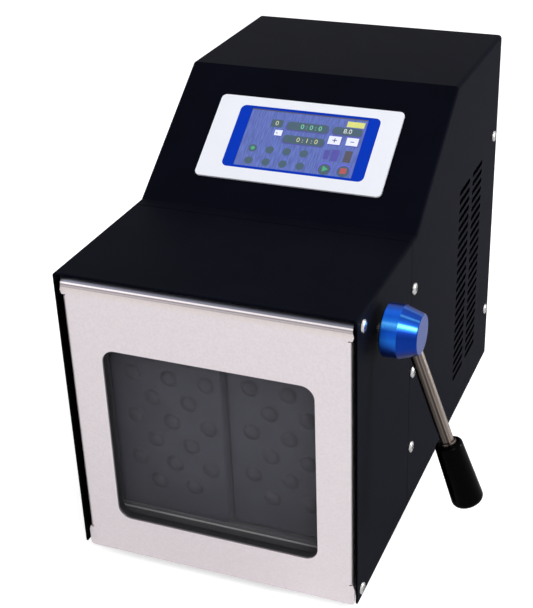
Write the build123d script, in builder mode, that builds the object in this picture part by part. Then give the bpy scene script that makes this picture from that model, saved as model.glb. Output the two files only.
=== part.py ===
from build123d import *
from math import atan2, cos, degrees, pi, radians, sin, sqrt, tan
import os

# Bench-top paddle blender: two paddles knead a sample bag behind a glazed front door.
# Cabinet coordinates, in millimetres: x from the middle plane to the right, y from the front
# edges of the covers to the back, z from the cabinet's underside upwards.

# ---------------------------------------------------------------- driving sizes
# Cabinet and its two covers
CAB_W = 218.0  # width over the covers
CAB_D = 376.6  # depth of the covers
FRONT_H = 228.5  # height of the low front part
BACK_H = 303.5  # height of the tall back part
SLOPE_FOOT = 131.9  # depth where the sloping face starts
SLOPE_TOP = 238.0  # depth where it ends
SEAM = 120.4  # depth of the seam between the two covers
SEAM_GAP = 0.6
SHEET = 1.5  # cover sheet
BEND = 3.0  # outer radius of its bends

# Frame inside the covers
PLATE = 2.0  # base plate, side plates and bulkhead
BASE_FRONT = 24.0  # the base plate leaves this much room for the swinging door
BULKHEAD_Y = 118.0  # front face of the wall behind the chamber
FLANGE = 18.0  # depth of folded flanges
REAR_RECESS = 2.0  # rear panel behind the covers' back edge
EDGE_GAP = 2.0  # frame plates under the cover's top, clear of its bends

# Feet
FOOT_H = 16.0
FOOT_R = 14.0
FOOT_TAPER = 2.0
FOOT_INSET = 29.0  # from the sides
FOOT_FRONT = 46.0
FOOT_BACK = CAB_D - 38.6
FOOT_WELL_R = 6.0
FOOT_WELL = 6.0

# Fasteners
SCREW_R = 2.0
SCREW_HEAD_R = 4.6
SCREW_HEAD = 1.9
SCREW_REACH = 6.0
RECESS_L = 4.4
RECESS_W = 0.9
RECESS_DEEP = 1.2
HOLE_SLACK = 0.15  # radial play of a clearance hole
SNUG = 0.02  # radial play of parts that are pressed together
RUNNING = 0.05  # radial play of turning and sliding shafts
APART = 0.3  # room between neighbours that move past each other

# Door
DOOR_RECESS = 2.0
DOOR_T = 1.5
DOOR_HALF = 105.0  # to the outside of its folded sides
EAR_HALF = 106.0  # at the unfolded ears, top and bottom
EAR_RAMP = 3.0  # height over which an ear narrows to the folded sides
EAR_FOOT_Z = 13.0
DOOR_TOP = FRONT_H - 4.5
EAR_TOP_Z = DOOR_TOP - 12.5
DOOR_FOOT = -4.0
DOOR_FOLD = 12.0  # depth of the folded sides
DOOR_CORNER = 3.0  # outer radius of its side bends
TOP_BEND = 6.0  # outer radius of its top bend
DOOR_LIP = TOP_BEND + 1.0  # depth of the folded top
FOLD_SLIT = 0.8  # slit between a folded side and an ear
RELIEF = 3.0  # notch under the tab of the front cover screw
PIVOT_Y = 9.0
PIVOT_Z = 7.4
PIVOT_R = 2.5
PIVOT_LUG = 6.0
DOOR_SWING = 90.0

# Window in the door
WIN_HALF = 78.7
WIN_FOOT = 28.7
WIN_TOP = FRONT_H - 56.3
WIN_R = 10.0
REVEAL = 6.4  # depth of the dark frame in front of the pane
PANE_T = 5.0
PANE_LAP = 7.0
FRAME_HALF = 101.6
FRAME_FOOT = 8.0
FRAME_TOP = WIN_TOP + 18.8
FRAME_R = 6.0
SEAL_W = 6.0
SEAL_LAP = 1.0  # seal outside the chamber's mouth
SEAL_FOOT = 9.0

# Blending chamber
LINER_T = 1.5
LINER_HALF = 94.5
LINER_FLOOR = 12.0
LINER_TOP = WIN_TOP + 7.8
LINER_BACK = 64.0
LIP_Z = 25.2  # top edge of the front lip below the mouth
LINER_RIM = 8.5
RIM_ABOVE = 7.0

# Paddles
PADDLE_SPLIT = -3.8  # the paddles meet a little left of the middle
PADDLE_GAP = 1.6
PADDLE_OUT = 93.0  # outer edges, from the middle
PADDLE_X = 48.0  # push rods, from the middle
PADDLE_FOOT = 16.0
PADDLE_TOP = LINER_TOP - 8.0
PADDLE_T = 10.0
PADDLE_R = 4.0
PADDLE_MID_Y = 38.25  # paddle face at mid stroke
PADDLE_STAGGER = 6.5  # right face behind the left one as photographed
DOME_R = 6.4
DOME_H = 2.6
DOME_PITCH_X = 29.0
DOME_PITCH_Z = 18.4
DOME_FIRST_X = {"left": 11.8, "right": 17.8}  # from the inner edge of each paddle
DOME_FIRST_Z = 44.4
DOME_ROWS = 1 + int((PADDLE_TOP - DOME_FIRST_Z - DOME_R) / DOME_PITCH_Z)

# Drive
ECCENTRIC = 8.0
CRANK_Y = 182.0
ROD_Z = 101.0
ROD_R = 6.0
ROLLER_R = 20.0
DISC_R = 15.6
YOKE_T = 12.0
YOKE_WALL = 8.0
YOKE_PLAY = 1.6
CRANK_R = 7.0
CRANK_LEFT = 92.0
CRANK_RIGHT = 97.0
BEARING_X = 74.0
BEARING_T = 12.0
BEARING_R = 14.0
PILLAR_W = 40.0
PILLAR_FOOT = 64.0
PULLEY_X = 87.0
PULLEY_W = 12.0
BIG_PULLEY_R = 38.0
SMALL_PULLEY_R = 15.0
BELT_T = 2.4
BELT_W = 9.0
GUIDE_R = 10.0
GUIDE_FLANGE_R = 17.0
GUIDE_FLANGE = 4.0
GUIDE_L = 30.0
MOTOR_BACK = 84.6  # its axis from the back edge of the covers
MOTOR_Y = CAB_D - MOTOR_BACK
MOTOR_Z = 54.0
MOTOR_R = 31.0
MOTOR_L = 104.0
MOTOR_SHAFT_R = 4.0
MOTOR_PLATE = 4.0
MOTOR_FACE = 66.0  # x of the motor's drive end

# Lever on the right, and its latch
LEVER_Y = 43.9
LEVER_Z = FRONT_H - 28.0
LEVER_R = 4.0
HUB_GAP = 5.4
HUB_R = 18.3
HUB_NOSE_R = 13.9
HUB_CYL = 11.7
HUB_CONE = 12.8
HUB_EDGE = 0.8
HUB_SOCKET = 9.0
ARM_OUT = 15.3  # the arm's axis leaves the hub's axis this far from the hub's back
ARM_TILT = 18.8  # outwards
ARM_BACK = 2.5  # backwards
ARM_R = 4.7
ARM_START = 3.0
GRIP_START = 87.5
GRIP_END = 137.5
GRIP_TOP_R = 9.7
GRIP_FOOT_R = 11.3
GRIP_TOP_ROUND = 2.4
GRIP_FOOT_ROUND = 4.8
GRIP_BORE = 30.0
FERRULE_R = 5.9
FERRULE = 2.0
LEVER_SWING = 45.0
HOOK_X = 92.5
HOOK_T = 4.0
HOOK_R = 21.0
HOOK_HUB_R = 9.0
HOOK_FROM = 16.0  # angles of the hook above the striker, lever hanging
HOOK_WEB = 58.0
HOOK_TO = 72.0
STRIKER_OUT = 14.0  # striker pin in front of the lever's shaft
STRIKER_R = 2.5
STRIKER_ARM_T = 3.0
STRIKER_ARM_H = 17.0
BUSH_R = 6.0
BUSH_FLANGE_R = 8.5
BUSH_FLANGE = 1.5
BUSH_L = 6.5

# Display on the sloping face
BEZEL_W = 148.0
BEZEL_H = 74.8
BEZEL_X = 1.1
BEZEL_V = 63.6  # its middle, measured up the slope
BEZEL_T = 1.6
BEZEL_R = 4.0
CUTOUT_LAP = 5.0
SURROUND_W = 112.9
SURROUND_H = 56.3
SURROUND_X = 2.35
SURROUND_V = 64.8
SURROUND_R = 4.5
SCREEN_W = 93.7
SCREEN_H = 52.0
SCREEN_X = 2.35
SCREEN_V = 64.8
SCREEN_SINK = 0.3
MODULE_T = 9.0
MODULE_RIM = 4.0
BOARD_MARGIN = 3.0  # board inside the cutout of the slope
BOARD_W = BEZEL_W - 2 * (CUTOUT_LAP + BOARD_MARGIN)
BOARD_H = 64.0
BOARD_T = 1.6
BOARD_DEEP = 26.0
STANDOFF_R = 3.0
STANDOFF_INSET = 5.0

# Vents in both sides
VENT_L = 32.0
VENT_H = 4.4
VENT_PITCH_Z = 7.78
VENT_ROWS = 23
VENT_FIRST_Z = 38.9
VENT_BACK = 65.8  # rear column from the back edge of the covers
VENT_PITCH_Y = 41.0
VENT_Y = (CAB_D - VENT_BACK - VENT_PITCH_Y, CAB_D - VENT_BACK)

# Cover screws on each side, as depth and height
FRONT_SCREW = (11.0, FRONT_H - 9.3)
SEAM_SCREW_Y = SEAM + 6.8
SEAM_SCREW_Z = (52.2, 119.1, FRONT_H - 39.8)
REAR_SCREW_Y = CAB_D - 11.6
REAR_SCREW_Z = (51.4, 219.0)

# Fan, switch, inlet and fuse on the rear panel
FAN_SIZE = 80.0
FAN_T = 25.0
FAN_X = 0.0
FAN_Z = 205.0
FAN_BORE_R = 38.0
FAN_HUB_R = 16.0
FAN_BLADES = 7
FAN_TIP_GAP = 1.0
FAN_PITCH = 71.5
FAN_SCREW_R = 2.0
FAN_CORNER = 4.0
FAN_SPIDER = 2.0  # the arms that hold the fan's motor
FAN_SPIDER_W = 4.0
FAN_PIN_R = 2.0
ROTOR_GAP = 4.0  # rotor from the panel and from the spider
GUARD_WIRE = 1.6
GUARD_RINGS = 6
INLET_X = -58.0
SERVICE_Z = 52.0
INLET_W = 27.0
INLET_H = 19.6
INLET_FLANGE_W = 50.0
INLET_FLANGE_H = 24.0
INLET_SOCKET_W = 24.2
INLET_SOCKET_H = 16.4
INLET_DEEP = 19.0
INLET_BACK = 24.0
INLET_FACE = 2.0
PIN_L = 13.5
PIN_W = 4.0
PIN_T = 2.0
PIN_SPREAD = 7.0
PIN_RISE = 2.0
FUSE_X = -12.0
FUSE_R = 6.5
FUSE_CAP_R = 8.5
FUSE_CAP = 3.0
FUSE_L = 26.0
SWITCH_X = 34.0
SWITCH_W = 21.0
SWITCH_H = 28.0
SWITCH_FLANGE = 2.0
SWITCH_BACK = 20.0
SWITCH_LAP = 1.5  # flange beyond the body
SWITCH_FLOOR = 3.0
ROCKER_DEEP = 6.0  # pivot below the flange's face
ROCKER_PIN_R = 1.5
ROCKER_TIP = 4.0
ROCKER_HEEL = 2.0
ROCKER_W = 16.0
ROCKER_H = 23.0
ROCKER_THROW = 16.0
ROCKER_PROUD = 3.6

# Power supply
SUPPLY_W = 56.0
SUPPLY_FRONT_GAP = 17.0  # behind the bearing pillars
SUPPLY_BACK_GAP = 47.6  # to the back edge of the covers
SUPPLY_FRONT = CRANK_Y + PILLAR_W / 2 + SUPPLY_FRONT_GAP
SUPPLY_DEPTH = CAB_D - SUPPLY_BACK_GAP - SUPPLY_FRONT
SUPPLY_H = 38.0
SUPPLY_X = -76.0
SUPPLY_Y = SUPPLY_FRONT + SUPPLY_DEPTH / 2
SUPPLY_VENT_R = 1.8
SUPPLY_VENT = 2.0

# ---------------------------------------------------------------- worked-out places
SLOPE_RISE = BACK_H - FRONT_H
SLOPE_RUN = SLOPE_TOP - SLOPE_FOOT
SLOPE_ANGLE = atan2(SLOPE_RISE, SLOPE_RUN)
HALF = CAB_W / 2
INNER = HALF - SHEET
PANEL_Y = CAB_D - REAR_RECESS - SHEET  # inner face of the rear panel
PANEL_OUT = CAB_D - REAR_RECESS

ARM_X = HALF + HUB_GAP + ARM_OUT
TILT = radians(ARM_TILT)
LEAN = radians(ARM_BACK)
ARM_DIR = (sin(TILT), cos(TILT) * sin(LEAN), -cos(TILT) * cos(LEAN))
GRIP_REACH = (GRIP_END - GRIP_FOOT_ROUND) * ARM_DIR[0]
GRIP_SPREAD = (GRIP_FOOT_R - GRIP_FOOT_ROUND) * sqrt(1 - ARM_DIR[0] ** 2) + GRIP_FOOT_ROUND
RIGHT_REACH = ARM_X + GRIP_REACH + GRIP_SPREAD
LEFT_REACH = HALF + SCREW_HEAD
REAR_REACH = PANEL_OUT + SWITCH_FLANGE + ROCKER_PROUD

# The origin is on the bench, in the middle of everything that stands over it.
X0 = (LEFT_REACH - RIGHT_REACH) / 2
Y0 = -REAR_REACH / 2
Z0 = FOOT_H


def facing(y):
    """An upright plane at depth y, seen from the front: sketch x is x and sketch y is z."""
    return Plane(origin=(X0, Y0 + y, Z0), x_dir=(1, 0, 0), z_dir=(0, -1, 0))


def across(x):
    """An upright plane at width x, seen from the right: sketch x is y and sketch y is z."""
    return Plane(origin=(X0 + x, Y0, Z0), x_dir=(0, 1, 0), z_dir=(1, 0, 0))


def level(z):
    """A level plane at height z, seen from above: sketch x is x and sketch y is y."""
    return Plane(origin=(X0, Y0, Z0 + z), x_dir=(1, 0, 0), z_dir=(0, 0, 1))


def on_slope(out=0.0):
    """The sloping face, or a plane outside it: sketch x is x and sketch y runs up the slope."""
    foot = (X0, Y0 + SLOPE_FOOT, Z0 + FRONT_H)
    normal = (0, -sin(SLOPE_ANGLE), cos(SLOPE_ANGLE))
    return Plane(origin=foot, x_dir=(1, 0, 0), z_dir=normal).offset(out)


def ray_point(angle, radius):
    """A point in front of the lever's shaft, the angle counted upwards from straight ahead."""
    turn = radians(angle)
    return (LEVER_Y - radius * cos(turn), LEVER_Z + radius * sin(turn))


os.makedirs("parts", exist_ok=True)

# ---------------------------------------------------------------- one cross-recessed screw
with BuildPart() as screw:
    with BuildSketch(Plane.XY):
        Circle(SCREW_HEAD_R)
    extrude(amount=SCREW_HEAD)
    fillet(screw.edges().group_by(Axis.Z)[-1], SCREW_HEAD * 0.6)
    with BuildSketch(Plane.XY.offset(SCREW_HEAD)):
        Rectangle(RECESS_L, RECESS_W)
        Rectangle(RECESS_W, RECESS_L)
    extrude(amount=-RECESS_DEEP, mode=Mode.SUBTRACT)
    with BuildSketch(Plane.XY):
        Circle(SCREW_R)
    extrude(amount=-SCREW_REACH)

# ---------------------------------------------------------------- frame
with BuildPart() as base_plate:
    with BuildSketch(level(0)):
        with Locations((0, (BASE_FRONT + PANEL_OUT) / 2)):
            Rectangle(2 * INNER, PANEL_OUT - BASE_FRONT)
        with Locations(*[(s * (HALF - FOOT_INSET), y) for s in (-1, 1) for y in (FOOT_FRONT, FOOT_BACK)]):
            Circle(SCREW_R + HOLE_SLACK, mode=Mode.SUBTRACT)
    extrude(amount=PLATE)
base_plate.part.label = "base_plate"
export_step(base_plate.part, "parts/base_plate.step")

for side, sign in (("left", -1), ("right", 1)):
    with BuildPart() as side_plate:
        with BuildSketch(across(sign * INNER)):
            with BuildLine():
                Polyline(
                    (BASE_FRONT, PLATE),
                    (BULKHEAD_Y, PLATE),
                    (BULKHEAD_Y, FRONT_H - SHEET - EDGE_GAP),
                    (BASE_FRONT, FRONT_H - SHEET - EDGE_GAP),
                    (BASE_FRONT, FRONT_SCREW[1] + SCREW_HEAD_R),
                    (FRONT_SCREW[0] - SCREW_HEAD_R, FRONT_SCREW[1] + SCREW_HEAD_R),
                    (FRONT_SCREW[0] - SCREW_HEAD_R, FRONT_SCREW[1] - SCREW_HEAD_R),
                    (BASE_FRONT, FRONT_SCREW[1] - SCREW_HEAD_R - RELIEF),
                    close=True,
                )
            make_face()
            with Locations((LEVER_Y, LEVER_Z)):
                Circle(BUSH_R + SNUG, mode=Mode.SUBTRACT)
            with Locations(FRONT_SCREW):
                Circle(SCREW_R + SNUG, mode=Mode.SUBTRACT)
        extrude(amount=-sign * PLATE)
        with BuildSketch(level(PLATE)):
            with Locations((sign * (INNER - FLANGE / 2), (BASE_FRONT + BULKHEAD_Y) / 2)):
                Rectangle(FLANGE, BULKHEAD_Y - BASE_FRONT)
        extrude(amount=PLATE)
    side_plate.part.label = f"side_plate_{side}"
    export_step(side_plate.part, f"parts/side_plate_{side}.step")

with BuildPart() as bulkhead:
    with BuildSketch(facing(BULKHEAD_Y)):
        with Locations((0, PLATE)):
            Rectangle(
                2 * INNER, FRONT_H - SHEET - EDGE_GAP - PLATE, align=(Align.CENTER, Align.MIN)
            )
        with Locations((-PADDLE_X, ROD_Z), (PADDLE_X, ROD_Z)):
            Circle(GUIDE_R + SNUG, mode=Mode.SUBTRACT)
    extrude(amount=-PLATE)
    for sign in (-1, 1):
        with BuildSketch(across(sign * INNER)):
            with Locations((BULKHEAD_Y, PLATE)):
                Rectangle(
                    FLANGE,
                    FRONT_H - SHEET - EDGE_GAP - PLATE,
                    align=(Align.MIN, Align.MIN),
                )
            with Locations(*[(SEAM_SCREW_Y, z) for z in SEAM_SCREW_Z]):
                Circle(SCREW_R + SNUG, mode=Mode.SUBTRACT)
        extrude(amount=-sign * PLATE)
bulkhead.part.label = "bulkhead"
export_step(bulkhead.part, "parts/bulkhead.step")

PANEL_TOP = BACK_H - SHEET - EDGE_GAP
with BuildPart() as rear_panel:
    with BuildSketch(facing(PANEL_Y)):
        with Locations((0, PLATE)):
            Rectangle(2 * INNER, PANEL_TOP - PLATE, align=(Align.CENTER, Align.MIN))
        with Locations((FAN_X, FAN_Z)):
            Circle(FAN_BORE_R, mode=Mode.SUBTRACT)
            with GridLocations(FAN_PITCH, FAN_PITCH, 2, 2):
                Circle(FAN_SCREW_R + HOLE_SLACK, mode=Mode.SUBTRACT)
        with Locations((INLET_X, SERVICE_Z)):
            Rectangle(INLET_W + 2 * SNUG, INLET_H + 2 * SNUG, mode=Mode.SUBTRACT)
        with Locations((FUSE_X, SERVICE_Z)):
            Circle(FUSE_R + SNUG, mode=Mode.SUBTRACT)
        with Locations((SWITCH_X, SERVICE_Z)):
            Rectangle(SWITCH_W + 2 * SNUG, SWITCH_H + 2 * SNUG, mode=Mode.SUBTRACT)
    extrude(amount=-SHEET)
    for sign in (-1, 1):
        with BuildSketch(across(sign * INNER)):
            with Locations((PANEL_Y, PLATE)):
                Rectangle(FLANGE, PANEL_TOP - PLATE, align=(Align.MAX, Align.MIN))
            with Locations(*[(REAR_SCREW_Y, z) for z in REAR_SCREW_Z]):
                Circle(SCREW_R + SNUG, mode=Mode.SUBTRACT)
        extrude(amount=-sign * SHEET)
rear_panel.part.label = "rear_panel"
export_step(rear_panel.part, "parts/rear_panel.step")

# ---------------------------------------------------------------- covers
with BuildPart() as front_cover:
    with BuildSketch(facing(0)):
        with BuildSketch(Plane.XY, mode=Mode.PRIVATE) as outside:
            Rectangle(CAB_W, FRONT_H, align=(Align.CENTER, Align.MIN))
            fillet(outside.vertices().group_by(Axis.Y)[-1], BEND)
        with BuildSketch(Plane.XY, mode=Mode.PRIVATE) as inside:
            Rectangle(2 * INNER, FRONT_H - SHEET, align=(Align.CENTER, Align.MIN))
            fillet(inside.vertices().group_by(Axis.Y)[-1], BEND - SHEET)
        add(outside.sketch)
        add(inside.sketch, mode=Mode.SUBTRACT)
    extrude(amount=-(SEAM - SEAM_GAP / 2))
    with BuildSketch(across(-HALF)):
        with Locations(FRONT_SCREW):
            Circle(SCREW_R + HOLE_SLACK)
        with Locations((PIVOT_Y, PIVOT_Z)):
            Circle(PIVOT_R + SNUG)
    extrude(amount=CAB_W, mode=Mode.SUBTRACT)
    with BuildSketch(across(HALF)):
        with Locations((LEVER_Y, LEVER_Z)):
            Circle(LEVER_R + HOLE_SLACK)
    extrude(amount=-SHEET, mode=Mode.SUBTRACT)
front_cover.part.label = "front_cover"
export_step(front_cover.part, "parts/front_cover.step")


def hood_form(inset, start, stop, low):
    """The sloped hood as one block, drawn in by the inset, from depth start to depth stop."""
    shift = inset * tan(SLOPE_ANGLE / 2)
    half = HALF - inset
    with BuildPart(mode=Mode.PRIVATE) as block:
        with BuildSketch(across(-half)):
            with BuildLine():
                Polyline(
                    (start, low),
                    (start, FRONT_H - inset),
                    (SLOPE_FOOT + shift, FRONT_H - inset),
                    (SLOPE_TOP + shift, BACK_H - inset),
                    (stop, BACK_H - inset),
                    (stop, low),
                    close=True,
                )
            make_face()
        extrude(amount=2 * half)
        sides = block.faces().filter_by(Axis.X)
        rims = sides.edges().filter_by(lambda e: e.center().Z > Z0 + FRONT_H - inset - 1)
        rims = rims.filter_by(lambda e: abs(e.tangent_at(0.5).Z) < 0.9)
        fillet(rims, BEND - inset)
    return block.part


VENT_MID_Z = VENT_FIRST_Z + (VENT_ROWS - 1) * VENT_PITCH_Z / 2
with BuildPart() as rear_cover:
    add(hood_form(0, SEAM + SEAM_GAP / 2, CAB_D, 0))
    add(hood_form(SHEET, SEAM - 1, CAB_D + 1, -1), mode=Mode.SUBTRACT)
    with BuildSketch(across(-HALF)):
        with Locations(*[(y, VENT_MID_Z) for y in VENT_Y]):
            with GridLocations(0, VENT_PITCH_Z, 1, VENT_ROWS):
                SlotOverall(VENT_L, VENT_H)
        with Locations(*[(SEAM_SCREW_Y, z) for z in SEAM_SCREW_Z]):
            Circle(SCREW_R + HOLE_SLACK)
        with Locations(*[(REAR_SCREW_Y, z) for z in REAR_SCREW_Z]):
            Circle(SCREW_R + HOLE_SLACK)
    extrude(amount=CAB_W, mode=Mode.SUBTRACT)
    with BuildSketch(on_slope(1)):
        with Locations((BEZEL_X, BEZEL_V)):
            Rectangle(BEZEL_W - 2 * CUTOUT_LAP, BEZEL_H - 2 * CUTOUT_LAP)
    extrude(amount=-(SHEET + 2), mode=Mode.SUBTRACT)
rear_cover.part.label = "rear_cover"
export_step(rear_cover.part, "parts/rear_cover.step")

# ---------------------------------------------------------------- blending chamber
RIM_HALF = LINER_HALF + LINER_T + LINER_RIM
RIM_TOP = LINER_TOP + LINER_T + RIM_ABOVE
with BuildPart() as chamber_liner:
    with BuildSketch(facing(BASE_FRONT + APART + LINER_T)):
        with Locations((0, (LINER_FLOOR + LINER_TOP) / 2)):
            Rectangle(2 * (LINER_HALF + LINER_T), LINER_TOP - LINER_FLOOR + 2 * LINER_T)
    extrude(amount=-(LINER_BACK - BASE_FRONT - APART))
    with BuildSketch(facing(BASE_FRONT + APART)):
        with Locations((0, LIP_Z)):
            Rectangle(2 * LINER_HALF, LINER_TOP - LIP_Z, align=(Align.CENTER, Align.MIN))
    extrude(amount=-LINER_T, mode=Mode.SUBTRACT)
    with BuildSketch(facing(BASE_FRONT + APART + LINER_T)):
        with Locations((0, LINER_FLOOR)):
            Rectangle(2 * LINER_HALF, LINER_TOP - LINER_FLOOR, align=(Align.CENTER, Align.MIN))
    extrude(amount=-(LINER_BACK - BASE_FRONT - APART - LINER_T), mode=Mode.SUBTRACT)
    with BuildSketch(facing(BASE_FRONT + APART)):
        with Locations((0, 2 * PLATE)):
            Rectangle(2 * RIM_HALF, RIM_TOP - 2 * PLATE, align=(Align.CENTER, Align.MIN))
        with Locations((0, LIP_Z)):
            Rectangle(
                2 * LINER_HALF,
                LINER_TOP - LIP_Z,
                align=(Align.CENTER, Align.MIN),
                mode=Mode.SUBTRACT,
            )
    extrude(amount=-LINER_T)
    with BuildSketch(facing(LINER_BACK)):
        with Locations((-PADDLE_X, ROD_Z), (PADDLE_X, ROD_Z)):
            Circle(GUIDE_R + SNUG)
    extrude(amount=-LINER_T, mode=Mode.SUBTRACT)
chamber_liner.part.label = "chamber_liner"
export_step(chamber_liner.part, "parts/chamber_liner.step")

with BuildPart() as rod_seals:
    for x in (-PADDLE_X, PADDLE_X):
        with BuildSketch(facing(LINER_BACK)):
            with Locations((x, ROD_Z)):
                Circle(GUIDE_R)
                Circle(ROD_R + RUNNING, mode=Mode.SUBTRACT)
        extrude(amount=-2 * LINER_T)
        with BuildSketch(facing(LINER_BACK + LINER_T)):
            with Locations((x, ROD_Z)):
                Circle(GUIDE_R + 3)
                Circle(ROD_R + RUNNING, mode=Mode.SUBTRACT)
        extrude(amount=-2 * LINER_T)
rod_seals.part.label = "rod_seals"
export_step(rod_seals.part, "parts/rod_seals.step")

with BuildPart() as rod_guides:
    for x in (-PADDLE_X, PADDLE_X):
        with BuildSketch(facing(BULKHEAD_Y + PLATE - GUIDE_L / 2)):
            with Locations((x, ROD_Z)):
                Circle(GUIDE_R)
                Circle(ROD_R + RUNNING, mode=Mode.SUBTRACT)
        extrude(amount=-GUIDE_L)
        with BuildSketch(facing(BULKHEAD_Y + PLATE)):
            with Locations((x, ROD_Z)):
                Circle(GUIDE_FLANGE_R)
                Circle(ROD_R + RUNNING, mode=Mode.SUBTRACT)
        extrude(amount=-GUIDE_FLANGE)
rod_guides.part.label = "rod_guides"
export_step(rod_guides.part, "parts/rod_guides.step")

# ---------------------------------------------------------------- door
DOOR_BACK = DOOR_RECESS + DOOR_T
PANE_Y = DOOR_BACK + REVEAL
FRAME_BACK = PANE_Y + PANE_T


def folded_edge(start, along, back, leg, bend):
    """The section of a folded edge: a bend of the given outer radius, then a leg to the back."""
    corner = Vector(*start)
    along = Vector(*along)
    back = Vector(*back)
    middle = corner + back * bend
    diagonal = (along - back).normalized()
    inner_r = bend - DOOR_T
    outer_end = middle + along * bend
    inner_end = middle + along * inner_r
    tip = back * (leg - bend)
    with BuildSketch(Plane.XY, mode=Mode.PRIVATE) as section:
        with BuildLine():
            ThreePointArc(corner, middle + diagonal * bend, outer_end)
            Polyline(outer_end, outer_end + tip, inner_end + tip, inner_end)
            ThreePointArc(inner_end, middle + diagonal * inner_r, corner + back * DOOR_T)
            Line(corner + back * DOOR_T, corner)
        make_face()
    return section.sketch


FLAT_HALF = DOOR_HALF - DOOR_CORNER
FLAT_TOP = DOOR_TOP - TOP_BEND
FOLD_HALF = INNER - PLATE - APART  # the folded top passes between the side plates
with BuildPart() as door_skin:
    with BuildSketch(facing(DOOR_RECESS)) as front_sheet:
        with BuildLine():
            Polyline(
                (0, DOOR_FOOT),
                (EAR_HALF, DOOR_FOOT),
                (EAR_HALF, EAR_FOOT_Z - EAR_RAMP),
                (DOOR_HALF, EAR_FOOT_Z),
                (FLAT_HALF, EAR_FOOT_Z),
                (FLAT_HALF, EAR_TOP_Z),
                (DOOR_HALF, EAR_TOP_Z),
                (EAR_HALF, EAR_TOP_Z + EAR_RAMP),
                (FOLD_HALF, FLAT_TOP),
                (0, FLAT_TOP),
                close=True,
            )
        make_face()
        mirror(about=Plane.YZ)
        fillet(front_sheet.vertices().group_by(Axis.Y)[0], DOOR_CORNER)
        with Locations((0, (WIN_FOOT + WIN_TOP) / 2)):
            RectangleRounded(2 * WIN_HALF, WIN_TOP - WIN_FOOT, WIN_R, mode=Mode.SUBTRACT)
    extrude(amount=-DOOR_T)
    with BuildSketch(across(-FOLD_HALF)):
        add(folded_edge((DOOR_RECESS, FLAT_TOP), (0, 1), (1, 0), DOOR_LIP, TOP_BEND))
    extrude(amount=2 * FOLD_HALF)
    with BuildSketch(level(EAR_FOOT_Z + FOLD_SLIT)):
        add(folded_edge((FLAT_HALF, DOOR_RECESS), (1, 0), (0, 1), DOOR_FOLD, DOOR_CORNER))
        mirror(about=Plane.YZ)
    extrude(amount=EAR_TOP_Z - EAR_FOOT_Z - 2 * FOLD_SLIT)
    for sign in (-1, 1):
        with BuildSketch(across(sign * DOOR_HALF)):
            with Locations((PIVOT_Y, PIVOT_Z)):
                Circle(PIVOT_LUG)
                Rectangle(PIVOT_Y - DOOR_RECESS, 2 * PIVOT_LUG, align=(Align.MAX, Align.CENTER))
                Circle(PIVOT_R + RUNNING, mode=Mode.SUBTRACT)
        extrude(amount=-sign * DOOR_T)
door_skin.part.label = "door_skin"
export_step(door_skin.part, "parts/door_skin.step")

WIN_MID_Z = (WIN_FOOT + WIN_TOP) / 2
WIN_H = WIN_TOP - WIN_FOOT
PANE_W = 2 * (WIN_HALF + PANE_LAP)
PANE_H = WIN_H + 2 * PANE_LAP
with BuildPart() as door_frame:
    with BuildSketch(facing(DOOR_BACK)):
        with Locations((0, (FRAME_FOOT + FRAME_TOP) / 2)):
            RectangleRounded(2 * FRAME_HALF, FRAME_TOP - FRAME_FOOT, FRAME_R)
        with Locations((0, WIN_MID_Z)):
            RectangleRounded(2 * WIN_HALF, WIN_H, WIN_R, mode=Mode.SUBTRACT)
    extrude(amount=-(REVEAL + PANE_T))
    with BuildSketch(facing(PANE_Y)):
        with Locations((0, WIN_MID_Z)):
            RectangleRounded(PANE_W + 2 * SNUG, PANE_H + 2 * SNUG, WIN_R)
    extrude(amount=-PANE_T, mode=Mode.SUBTRACT)
door_frame.part.label = "door_frame"
export_step(door_frame.part, "parts/door_frame.step")

with BuildPart() as window_pane:
    with BuildSketch(facing(PANE_Y)):
        with Locations((0, WIN_MID_Z)):
            RectangleRounded(PANE_W, PANE_H, WIN_R)
    extrude(amount=-PANE_T)
window_pane.part.label = "window_pane"
export_step(window_pane.part, "parts/window_pane.step")

# The seal meets the chamber's rim all round its mouth.
SEAL_HALF = LINER_HALF + SEAL_LAP
SEAL_TOP = LINER_TOP + SEAL_LAP + SEAL_W
with BuildPart() as door_seal:
    with BuildSketch(facing(FRAME_BACK)):
        with Locations((0, SEAL_FOOT)):
            Rectangle(
                2 * (SEAL_HALF + SEAL_W), SEAL_TOP - SEAL_FOOT, align=(Align.CENTER, Align.MIN)
            )
        with Locations((0, SEAL_FOOT + SEAL_W)):
            Rectangle(
                2 * SEAL_HALF,
                SEAL_TOP - SEAL_FOOT - 2 * SEAL_W,
                align=(Align.CENTER, Align.MIN),
                mode=Mode.SUBTRACT,
            )
    extrude(amount=-(BASE_FRONT - FRAME_BACK))
door_seal.part.label = "door_seal"
export_step(door_seal.part, "parts/door_seal.step")

STRIKER_Y = LEVER_Y - STRIKER_OUT
ARM_INSIDE = HOOK_X + HOOK_T / 2 + APART
with BuildPart() as strikers:
    for sign in (-1, 1):
        with BuildSketch(across(sign * ARM_INSIDE)):
            with Locations((DOOR_BACK, LEVER_Z)):
                Rectangle(
                    STRIKER_Y + STRIKER_R - DOOR_BACK, STRIKER_ARM_H, align=(Align.MIN, Align.CENTER)
                )
        extrude(amount=sign * STRIKER_ARM_T)
        with BuildSketch(across(sign * (ARM_INSIDE + STRIKER_ARM_T))):
            with Locations((STRIKER_Y, LEVER_Z)):
                Circle(STRIKER_R)
        extrude(amount=-sign * (HOOK_T + 2 * APART + STRIKER_ARM_T))
        with BuildSketch(facing(DOOR_BACK)):
            with Locations((sign * (ARM_INSIDE + STRIKER_ARM_T / 2), LEVER_Z)):
                Rectangle(3 * STRIKER_ARM_T, STRIKER_ARM_H)
        extrude(amount=-DOOR_T)
strikers.part.label = "strikers"
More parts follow.
